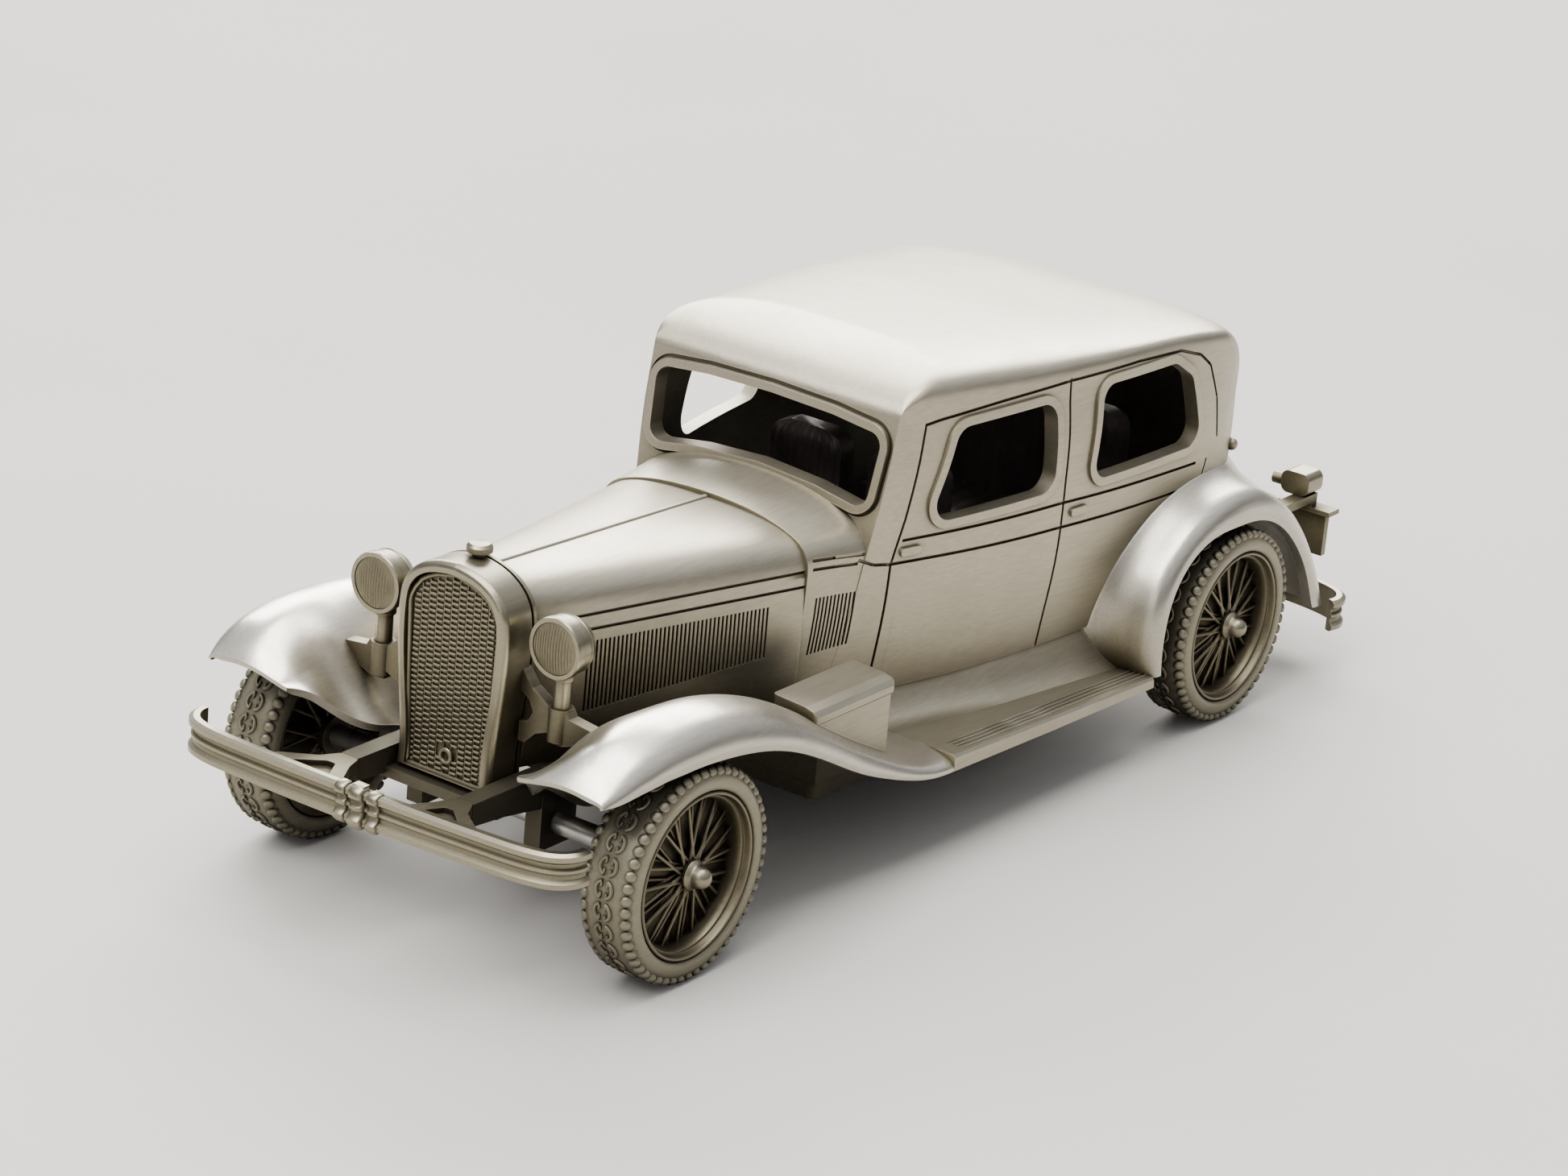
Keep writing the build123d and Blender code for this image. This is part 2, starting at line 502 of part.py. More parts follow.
def rear_crescent(row, thickness):
    ang, lx, lr, cx, cr, mx, mr, rx, rr = row
    a = math.radians(ang)
    uy, uz = math.cos(a), math.sin(a)
    rise = cr - lr
    pts = [(lx, lr), (lx - 0.1, lr + rise * 0.45), (lx - 0.65, lr + rise * 0.82), (cx, cr), (mx, mr),
           (mx * 0.45 + rx * 0.55, mr * 0.6 + rr * 0.4), (rx, rr)]
    inner = inset_curve(pts, thickness)

    def place(p):
        return (p[0], rear_axle_y + p[1] * uy, axle_z + p[1] * uz)

    top = Spline(*[place(p) for p in pts])
    under = Spline(*[place(p) for p in inner])
    return make_face([top, Line(place(pts[0]), place(inner[0])), under, Line(place(pts[-1]), place(inner[-1]))])


rear_fender = loft([rear_crescent(r, fender_thickness) for r in rear_sections])
# rear fender trimmed against the body sides
rear_fender = rear_fender - cabin_outer
rear_fender = rear_fender.solids().sort_by(SortBy.VOLUME)[-1]

# ------------------------------------------------- running boards and valance
board_stations = [(-4.3, 9.7, 13.0, 8.2, 6.95, 18.45), (8.0, 12.35, 14.4, 7.6, 6.5, 18.45), (22.9, 13.55, 15.6, 6.95, 6.1, 18.5)]


def board_section(row):
    y, sx, bx, top, low, ox = row
    sweep_in = Spline((sx, y, sill_z), (sx + 0.3, y, 9.55), (sx + 1.05, y, (9.0 + top) / 2), (bx, y, top))
    pts = [(bx, top), (ox - 0.15, top), (ox, top - 0.2), (ox, low), (sx - 0.4, low), (sx - 0.7, low + 0.4),
           (sx - 0.7, sill_z), (sx, sill_z)]
    return make_face([sweep_in, Polyline(*[(x, y, z) for x, z in pts])])


board = loft([board_section(r) for r in board_stations], ruled=True)
board = board - (Pos(16, rear_axle_y, axle_z) * Rot(0, 90, 0) * Cylinder(11.9, 10))
board = board - rear_fender - cabin_outer
board = board.solids().sort_by(SortBy.VOLUME)[-1]
both_sides("running_board", board)
both_sides("rear_fender", rear_fender)

# ----------------------------------------------------------------- step boxes
case = box(12.7, 16.5, -19.4, -10.2, 7.0, 14.15)
case = fillet(case.edges().filter_by(Axis.Z), 0.35)
lid_face = make_face(Polyline((12.7, 0, 14.25), (16.6, 0, 14.25), (16.6, 0, 14.75), (16.3, 0, 15.15), (15.6, 0, 15.35),
                              (12.7, 0, 15.5), close=True))
lid = Pos(0, -19.5, 0) * extrude(lid_face, amount=9.4, dir=(0, 1, 0))
lid = fillet(lid.edges().filter_by(Axis.Z), 0.3)
neck = box(12.9, 16.3, -19.2, -10.4, 14.0, 14.4)
step_box = (case + neck + lid) - front_fill - cowl_outer - bonnet_outer
step_box = step_box.solids().sort_by(SortBy.VOLUME)[-1]
both_sides("step_box", step_box)

# ------------------------------------------------------------------- bumpers
def blade_profile():
    """Double-ribbed bumper bar section; x is outward, y is up."""
    pts = [(-0.35, -1.32), (0.1, -1.32), (0.42, -1.14), (0.42, -0.78), (0.1, -0.56), (0.05, -0.24), (0.25, -0.11),
           (0.25, 0.11), (0.05, 0.24), (0.1, 0.56), (0.42, 0.78), (0.42, 1.14), (0.1, 1.32), (-0.35, 1.32)]
    return make_face(Polyline(*pts, close=True))


def blade(path_points, z):
    """Bumper bar swept along a plan curve."""
    path = Spline(*[(x, y, z) for x, y in path_points])
    start = path @ 0
    plane = Plane(origin=start, x_dir=Vector(0, 0, 1).cross(path % 0) * -1.0, z_dir=path % 0)
    return sweep(plane * blade_profile(), path=path)


front_path = [(-16.7, -44.8), (-16.6, -45.7), (-15.9, -46.7), (-14.4, -47.35), (-11.0, -47.7), (-5.5, -47.9), (0.0, -47.95),
              (5.5, -47.9), (11.0, -47.7), (14.4, -47.35), (15.9, -46.7), (16.6, -45.7), (16.7, -44.8)]
bumper_z = 11.25
front_bumper = blade(front_path, bumper_z)
bumper_set = Pos(0, -48, bumper_z) * Rot(0, -0.4, 1.0) * Pos(0, 48, -bumper_z)
front_bumper = bumper_set * front_bumper
parts["front_bumper"] = front_bumper
# middle clamp: three knuckles gripping the bar
clamp = None
for dx, width, grow in ((-1.45, 1.0, 0.25), (0.0, 1.3, 0.38), (1.45, 1.0, 0.25)):
    knuckle = box(dx - width / 2, dx + width / 2, -48.37 - grow, -48.0, 9.88 - grow * 0.4, 12.62 + grow * 0.4)
    knuckle = fillet(knuckle.edges().filter_by(Axis.X).sort_by(Axis.Y)[:2], 0.22)
    clamp = knuckle if clamp is None else clamp + knuckle
clamp = clamp + box(-2.1, 2.1, -48.5, -48.05, 10.6, 11.9)
clamp = clamp + box(-0.6, 0.6, -48.05, -47.35, 12.59, 12.87) + box(-0.6, 0.6, -48.37, -47.95, 12.47, 12.87)
parts["front_bumper_clamp"] = (bumper_set * clamp) - front_bumper

# rear bumper bar: same section, bowed round the tail
rear_path = [(18.0, 49.4), (18.1, 50.5), (17.5, 51.6), (16.0, 52.4), (11.5, 53.1), (5.5, 53.5), (0.0, 53.6),
             (-5.5, 53.5), (-11.5, 53.1), (-16.0, 52.4), (-17.5, 51.6), (-18.1, 50.5), (-18.0, 49.4)]
rear_bumper_z = 4.7
rear_bumper = blade(rear_path, rear_bumper_z)
parts["rear_bumper"] = rear_bumper

# -------------------------------------------------------------- chassis frame
rail_top = 11.9
plan_outer = [(5.9, -43.2), (5.9, -37.0), (6.0, -30.0), (8.2, -14.0), (9.6, -9.0), (9.6, 24.0), (8.0, 29.0),
              (8.0, 40.0), (8.0, 46.5)]
plan_inner = [(x - 1.5, y) for x, y in plan_outer]
outline = [(x, y, 0) for x, y in plan_outer] + [(x, y, 0) for x, y in reversed(plan_inner)]
rail_face = make_face(Polyline(*outline, close=True)).face()
rail = Pos(0, 0, 8.6) * extrude(rail_face, amount=rail_top - 8.6, dir=(0, 0, 1))
side_profile = [(-44.0, 10.3), (-44.0, 11.9), (-36.0, 11.9), (-30.0, 11.6), (-20.0, 10.4), (-12.0, 9.6), (26.0, 9.6),
                (30.0, 10.2), (40.0, 10.2), (47.0, 9.6), (47.0, 8.4), (40.0, 9.2), (26.0, 8.2), (-12.0, 8.2),
                (-22.0, 8.9), (-36.0, 9.4), (-40.0, 10.0)]
rail = rail & along_x(side_profile, -30, 30)
frame = rail + mirror(rail, about=Plane.YZ)
for y0, y1, half in ((-40.2, -39.0 + 0.2, 5.5), (-31.5, -30.0, 5.5), (-13.5, -11.5, 8.0), (6.0, 8.0, 9.0), (24.5, 26.5, 9.0),
                     (37.6, 39.2, 7.5), (44.5, 46.0, 7.5)):
    frame = frame + box(-half, half, y0, y1, 8.7 if y0 > -30 else 9.7, 9.5 if y0 > -30 else 10.5)
# axle hangers with the running bores
for ay, hx in ((front_axle_y, 4.6), (rear_axle_y, 6.6)):
    for side in (1, -1):
        hanger = box(side * hx, side * (hx + 1.4), ay - 1.9, ay + 1.9, 6.2, 10.4)
        frame = frame + hanger
for ay in (front_axle_y, rear_axle_y):
    bore = Pos(0, ay, axle_z) * Rot(0, 90, 0) * Cylinder(axle_radius + bearing_clearance, 30)
    frame = frame - bore
# belly box walls that carry the base plate
belly = box(-10.0, 10.0, -9.4, 23.5, 4.6, 9.0) - box(-9.0, 9.0, -8.4, 22.5, 4.0, 10.0)
frame = frame + belly
post_points = [(-8.2, -7.6), (8.2, -7.6), (-8.2, 21.7), (8.2, 21.7)]
for px, py in post_points:
    frame = frame + (Pos(px, py, 6.6) * Cylinder(1.3, 4.0))
    frame = frame - (Pos(px, py, 5.6) * Cylinder(0.45, 4.4))
frame = frame - parts["radiator_shell"] - cowl_outer - bonnet_outer
for k in ("front_fender_left", "front_fender_right", "rear_fender_left", "rear_fender_right", "running_board_left",
          "running_board_right", "lamp_bracket_left", "lamp_bracket_right"):
    frame = frame - parts[k]
frame = frame.solids().sort_by(SortBy.VOLUME)[-1]
parts["chassis_frame"] = frame

plate = box(-10.0, 10.0, -9.4, 23.5, 3.4, 4.6)
plate = fillet(plate.edges().filter_by(Axis.Z), 0.8)
for px, py in post_points:
    plate = plate - (Pos(px, py, 4.0) * Cylinder(0.55, 3.0)) - (Pos(px, py, 3.75) * Cylinder(1.0, 0.72))
parts["base_plate"] = plate
screws = []
for px, py in post_points:
    screw = Pos(px, py, 3.8) * Cylinder(0.95, 0.6)
    screw = screw + (Pos(px, py, 5.4) * Cylinder(0.44, 2.8))
    screw = screw - (Pos(px, py, 3.5) * Box(1.4, 0.25, 0.5))
    screws.append(screw)
parts["base_screws"] = Compound([s.solids()[0] for s in screws])

# irons from the frame horns to the front bar
iron_face = make_face(Polyline((4.3, -43.3, 0), (5.9, -43.3, 0), (6.6, -44.6, 0), (8.8, -46.2, 0), (9.8, -47.6, 0),
                               (2.6, -47.8, 0), (3.0, -46.2, 0), (3.9, -44.6, 0), close=True)).face()
iron_hole = make_face(Polyline((4.9, -44.9, 0), (5.6, -44.9, 0), (7.2, -46.3, 0), (7.6, -46.9, 0), (3.9, -46.9, 0),
                               (4.2, -46.2, 0), close=True)).face()
iron_hole = iron_hole.fillet_2d(0.25, iron_hole.vertices())
iron = Pos(0, 0, 11.1) * extrude(iron_face, amount=0.8, dir=(0, 0, 1))
iron = iron - (Pos(0, 0, 11.5) * extrude(iron_hole, amount=1.0, dir=(0, 0, 1)))
iron = iron + box(4.4, 5.8, -44.6, -43.22, 10.4, 11.9)
iron = iron - front_bumper - frame
both_sides("front_bumper_iron", iron.solids().sort_by(SortBy.VOLUME)[-1])

# irons from the frame tails to the rear bar
iron_face = make_face(Polyline((6.6, 46.5, 0), (7.9, 46.5, 0), (8.3, 48.5, 0), (10.4, 51.2, 0), (13.4, 52.6, 0),
                               (9.0, 53.1, 0), (7.0, 49.5, 0), close=True)).face()
riser = along_x([(46.5, 9.6), (46.5, 8.4), (49.0, 5.4), (52.9, 4.3), (52.9, 5.2), (49.6, 6.6)], 0, 20)
iron = (Pos(0, 0, 3) * extrude(iron_face, amount=8, dir=(0, 0, 1))) & riser
iron = iron - rear_bumper - frame
both_sides("rear_bumper_iron", iron.solids().sort_by(SortBy.VOLUME)[-1])

# tail lamp over the number plate, carried by a bracket off the left rear wing
plate_arm = box(13.0, 14.2, 45.0, 51.6, 12.9, 13.6) + box(13.0, 14.2, 51.0, 51.8, 10.2, 13.6)
plate_arm = plate_arm - rear_fender - cabin_outer
plate_arm = plate_arm.solids().sort_by(SortBy.VOLUME)[-1]
tail_lamp = box(11.8, 14.4, 49.8, 52.0, 13.62, 15.5)
tail_lamp = fillet(tail_lamp.edges().filter_by(Axis.Y), 0.7)
tail_lamp = tail_lamp + (Pos(13.4, 52.2, 14.5) * Rot(90, 0, 0) * Cylinder(0.7, 0.6))
tail_lamp = tail_lamp + (Pos(11.3, 50.7, 14.3) * Rot(0, 90, 0) * Cylinder(0.5, 1.2))
parts["tail_lamp"] = (tail_lamp - plate_arm).solids().sort_by(SortBy.VOLUME)[-1]
plate_board = box(8.6, 15.2, 51.8, 52.4, 8.4, 12.1) + box(12.2, 15.9, 51.0, 52.6, 12.1, 12.5)
plate_frame = box(8.9, 14.9, 52.2, 52.5, 8.7, 11.8)
plate_board = plate_board - plate_frame
parts["tail_lamp_bracket"] = (plate_arm - plate_board).solids().sort_by(SortBy.VOLUME)[-1]
parts["number_plate"] = plate_board - parts["tail_lamp"]

# ------------------------------------------------------------------- interior
tub_plan = [(7.5, -8.8), (8.3, -5.2), (9.3, 0.6), (9.3, 25.5)]
tub_outline = [(x, y, 0) for x, y in tub_plan] + [(-x, y, 0) for x, y in reversed(tub_plan)]
tub = Pos(0, 0, 9.7) * extrude(make_face(Polyline(*tub_outline, close=True)).face(), amount=0.8, dir=(0, 0, 1))
tub = tub + box(-7.5, 7.5, -8.8, -8.0, 10.5, 20.0)
tub = tub - frame
parts["interior_floor"] = tub


def seat(xc, width, y0, cushion_top, back_top, depth, flutes):
    """Pleated seat: cushion plus a leaning back with rounded top corners."""
    cushion = box(xc - width / 2, xc + width / 2, y0, y0 + depth, 10.5, cushion_top)
    back_face = make_face(Polyline((xc - width / 2, 0, 10.5), (xc + width / 2, 0, 10.5), (xc + width / 2, 0, back_top),
                                   (xc - width / 2, 0, back_top), close=True)).face()
    back_face = back_face.fillet_2d(1.6, back_face.vertices().sort_by(Axis.Z)[-2:])
    back = extrude(back_face, amount=1.9, dir=(0, 1, 0))
    back = Pos(0, y0 + depth - 0.2, 0) * back
    body = cushion + back
    pitch = width / flutes
    for k in range(1, flutes):
        x = xc - width / 2 + pitch * k
        body = body - box(x - 0.1, x + 0.1, y0 + depth - 0.4, y0 + depth, cushion_top, back_top + 1)
    return body


parts["front_seat_left"] = seat(4.55, 6.6, 1.2, 15.2, 24.6, 5.2, 9)
parts["front_seat_right"] = seat(-4.55, 6.6, 1.2, 15.2, 24.6, 5.2, 9)
bench = seat(0.0, 19.5, 21.5, 15.5, 24.4, 6.0, 15)
parts["rear_bench"] = bench.solids().sort_by(SortBy.VOLUME)[-1]
dash_face = make_face(Polyline((0, -4.9, 18.6), (0, -3.6, 18.6), (0, -3.2, 22.8), (0, -4.4, 23.3), (0, -4.9, 23.3), close=True)).face()
dash = Pos(-9.2, 0, 0) * extrude(dash_face, amount=18.4, dir=(1, 0, 0))
for gx in (-6.6, -3.2, 0.0):
    dash = dash + (Pos(gx, -3.3, 21.2) * Rot(90, 0, 0) * Cylinder(0.8, 0.7))
parts["dashboard"] = dash
wheel_plane = Plane(origin=(-5.0, -0.6, 22.0), z_dir=(0, 0.72, 0.69))
rim = wheel_plane * Torus(3.0, 0.24)
column_axis = Vector(0, 0.72, 0.69)
column_end = Vector(-5.0, -0.6, 22.0) - column_axis * 5.0
column_path = Line(column_end, Vector(-5.0, -0.6, 22.0))
column = sweep(Plane(origin=column_end, z_dir=column_axis) * Circle(0.35), path=column_path)
hub = wheel_plane * Cylinder(0.7, 0.5)
spokes = None
for k in range(4):
    bar = wheel_plane * Rot(0, 0, 45 + 90 * k) * Pos(1.55, 0, 0) * Box(3.0, 0.34, 0.22)
    spokes = bar if spokes is None else spokes + bar
steering = rim + hub + spokes + column
steering = steering - parts["dashboard"]
parts["steering_wheel"] = steering.solids().sort_by(SortBy.VOLUME)[-1]

# --------------------------------------------------------------------- wheels
tyre_pts = [(rim_radius, -1.65), (rim_radius + 0.35, -2.0), (rim_radius + 1.2, -tyre_width / 2), (tyre_radius - 0.35, -2.0),
            (tyre_radius - 0.05, -1.55), (tyre_radius, -0.9), (tyre_radius, 0.9), (tyre_radius - 0.05, 1.55),
            (tyre_radius - 0.35, 2.0), (rim_radius + 1.2, tyre_width / 2), (rim_radius + 0.35, 2.0), (rim_radius, 1.65)]
tyre_face = make_face(Polyline(*[(x, 0, r) for r, x in tyre_pts], close=True))
tyre = revolve(tyre_face, axis=Axis.X)
rim_pts = [(5.45, -1.95), (rim_radius - 0.0, -1.65), (rim_radius, 1.65), (5.75, 1.9), (5.5, 1.9), (5.35, 1.3), (5.0, 0.9),
           (5.0, -0.9), (5.3, -1.3)]
rim_face = make_face(Polyline(*[(x, 0, r) for r, x in rim_pts], close=True))
wheel = revolve(rim_face, axis=Axis.X)
hub_pts = [(0.0, -1.9), (1.5, -1.9), (1.5, -0.8), (0.95, -0.4), (0.95, 0.9), (1.15, 1.1), (1.15, 1.5), (0.0, 1.5)]
hub_face = make_face(Polyline(*[(x, 0, r) for r, x in hub_pts], close=True))
wheel = wheel + revolve(hub_face, axis=Axis.X)
web_pts = [(1.0, 0.55), (5.1, -0.15), (5.1, -0.45), (1.0, 0.15)]
web_face = make_face(Polyline(*[(x, 0, r) for r, x in web_pts], close=True))
wheel = wheel + revolve(web_face, axis=Axis.X)
spoke_count = 20
for k in range(spoke_count):
    a = 2 * math.pi * k / spoke_count
    lean_a = 0.42 if k % 2 == 0 else -0.42
    for x_hub, x_rim, r_hub, twist in ((1.2, 0.55, 1.0, lean_a), (-1.3, -0.5, 1.35, -lean_a)):
        p0 = Vector(x_hub, r_hub * math.cos(a + twist), r_hub * math.sin(a + twist))
        p1 = Vector(x_rim, 5.2 * math.cos(a), 5.2 * math.sin(a))
        d = (p1 - p0)
        wheel = wheel + Solid.make_cylinder(0.13, d.length, Plane(origin=p0, z_dir=d))
wheel = wheel - (Rot(0, 90, 0) * Cylinder(axle_radius, 10))
cap_pts = [(0.0, 1.5), (1.35, 1.5), (1.35, 1.75), (0.85, 2.0), (0.8, 2.4), (0.6, 2.75), (0.3, 2.95), (0.0, 3.0)]
cap_face = make_face(Polyline(*[(x, 0, r) for r, x in cap_pts], close=True))
cap = revolve(cap_face, axis=Axis.X)
ear = Pos(2.0, 0, 0) * Box(0.45, 3.3, 0.6)
ear = fillet(ear.edges().filter_by(Axis.X), 0.2)
cap = cap + ear
for label, ay in (("front", front_axle_y), ("rear", rear_axle_y)):
    for side, word in ((1, "left"), (-1, "right")):
        flip = Rot(0, 0, 0) if side == 1 else Rot(0, 0, 180)
        place = Pos(side * tyre_mid_x, ay, axle_z) * flip
        parts["%s_tyre_%s" % (label, word)] = place * tyre
        parts["%s_wheel_%s" % (label, word)] = place * wheel
        parts["%s_hub_cap_%s" % (label, word)] = place * cap
    parts["%s_axle" % label] = Pos(0, ay, axle_z) * Rot(0, 90, 0) * Cylinder(axle_radius, 2 * (tyre_mid_x + 1.48))

# --------------------------------------------------------------------- output
for name, shape in parts.items():
    export_step(Pos(0, shift_y, 0) * shape, "parts/%s.step" % name)
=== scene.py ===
"""Looks of the pewter collector saloon: finishes, tyres, wheels, grille mesh, lamp lenses and seats."""
import json
import math

import bmesh
import bpy
from mathutils import Matrix, Vector

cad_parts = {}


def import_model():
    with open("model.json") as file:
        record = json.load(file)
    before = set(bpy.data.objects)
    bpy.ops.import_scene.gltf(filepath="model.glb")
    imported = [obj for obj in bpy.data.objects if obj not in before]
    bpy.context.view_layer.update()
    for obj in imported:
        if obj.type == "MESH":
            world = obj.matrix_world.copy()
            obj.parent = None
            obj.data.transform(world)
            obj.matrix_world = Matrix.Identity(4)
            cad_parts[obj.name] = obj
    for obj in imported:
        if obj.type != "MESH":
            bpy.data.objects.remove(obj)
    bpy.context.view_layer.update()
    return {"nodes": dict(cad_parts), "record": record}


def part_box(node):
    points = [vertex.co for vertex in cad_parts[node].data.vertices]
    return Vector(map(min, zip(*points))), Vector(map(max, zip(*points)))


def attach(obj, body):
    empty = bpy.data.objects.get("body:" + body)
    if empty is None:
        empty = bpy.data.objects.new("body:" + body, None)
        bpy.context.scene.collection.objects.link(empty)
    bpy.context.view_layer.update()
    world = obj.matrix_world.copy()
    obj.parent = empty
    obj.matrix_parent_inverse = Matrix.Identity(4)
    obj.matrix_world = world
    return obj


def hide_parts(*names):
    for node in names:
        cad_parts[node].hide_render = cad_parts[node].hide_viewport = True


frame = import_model()
MM = 0.001


# ------------------------------------------------------------------ places
def box_middle(node):
    """Middle of a CAD node's box."""
    low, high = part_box(node)
    return (low + high) / 2


front_axle = box_middle("front_axle")
rear_axle = box_middle("rear_axle")
datum = Vector((0, (front_axle.y + rear_axle.y) / 2, 0))   # on the ground, midway between the axles
tyre_low, tyre_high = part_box("front_tyre_left")
TYRE_RADIUS = (tyre_high.z - tyre_low.z) / 2
TYRE_HALF = (tyre_high.x - tyre_low.x) / 2
TYRE_X = (tyre_high.x + tyre_low.x) / 2


# --------------------------------------------------------------- materials
def node(tree, kind, sockets=None, **settings):
    """Adds a shader node; sockets maps an input to a value or to another node's output."""
    made = tree.nodes.new(kind)
    for key, value in settings.items():
        setattr(made, key, value)
    for key, value in (sockets or {}).items():
        if isinstance(value, bpy.types.NodeSocket):
            tree.links.new(value, made.inputs[key])
        else:
            made.inputs[key].default_value = value
    return made


def ramp(tree, factor, stops):
    """Colour ramp through (position, grey or colour) stops."""
    made = node(tree, "ShaderNodeValToRGB", {"Fac": factor})
    points = made.color_ramp.elements
    while len(points) < len(stops):
        points.new(0.5)
    for point, (place, colour) in zip(points, stops):
        point.position = place
        point.color = (*colour, 1) if isinstance(colour, tuple) else (colour, colour, colour, 1)
    return made.outputs["Color"]


def maths(tree, operation, a, b=0.0, clamp=False):
    """Arithmetic on two values or outputs."""
    return node(tree, "ShaderNodeMath", {0: a, 1: b}, operation=operation, use_clamp=clamp).outputs[0]


def mix(tree, factor, a, b):
    """Colour a where factor is 0, colour b where it is 1."""
    made = node(tree, "ShaderNodeMix", data_type="RGBA")
    for key, value in (("Factor", factor), ("A", a), ("B", b)):
        socket = [s for s in made.inputs if s.name == key and s.enabled][0]
        if isinstance(value, bpy.types.NodeSocket):
            tree.links.new(value, socket)
        else:
            socket.default_value = (*value, 1) if isinstance(value, tuple) else value
    return [s for s in made.outputs if s.enabled][0]


def object_place(tree):
    """Place on the object, in metres."""
    return node(tree, "ShaderNodeTexCoord").outputs["Object"]


def noise(tree, place, scale, detail=2.0, roughness=0.5):
    """Cloudy noise from 0 to 1."""
    sockets = {"Vector": place, "Scale": scale, "Detail": detail, "Roughness": roughness}
    return node(tree, "ShaderNodeTexNoise", sockets).outputs["Fac"]


def openness(tree, reach, samples, inside=False):
    """1 on open surface, less where something stands within reach of it."""
    made = node(tree, "ShaderNodeAmbientOcclusion", {"Distance": reach}, samples=samples, inside=inside)
    return made.outputs["AO"]


def upward(tree, vector):
    """The Z of a place or of a direction."""
    return node(tree, "ShaderNodeSeparateXYZ", {"Vector": vector}).outputs["Z"]


def swing(tree, value, size):
    """A noise value turned into a swing about zero."""
    return maths(tree, "MULTIPLY", maths(tree, "SUBTRACT", value, 0.5), size)


def new_material(name):
    """Empty material with a shader wired to its output."""
    made = bpy.data.materials.new(name)
    made.use_nodes = True
    tree = made.node_tree
    tree.nodes.clear()
    shader = tree.nodes.new("ShaderNodeBsdfPrincipled")
    out = tree.nodes.new("ShaderNodeOutputMaterial")
    tree.links.new(shader.outputs[0], out.inputs[0])
    return made, tree, shader


BRUSH_STRETCH = (5200, 260, 5200)            # strokes run fore and aft
EDGE_REACH = 0.16 * MM                       # how far from an edge the metal is rubbed bright
CAVE_REACH = 24 * MM                         # how far a wall can be and still darken an enclosed place with painted shade
# painted shade: near-black colour put into enclosed places such as under the wings and inside the cabin
CAVE_SHADE_COLOUR = (0.022, 0.018, 0.014)
SHADED_FLANK_TINT = (0.99, 0.96, 0.88)              # painted shade: upright faces are warmer and darker than the tops, which are painted lighter
STROKE_SHADE = 0.86
SHARP_EDGE, SOFT_EDGE = 0.05 * MM, 1.4 * MM  # edge rounding in the shading: below the roof, on the roof
ROOF_STARTS, ROOF_FULL = 32.3 * MM, 33.2 * MM


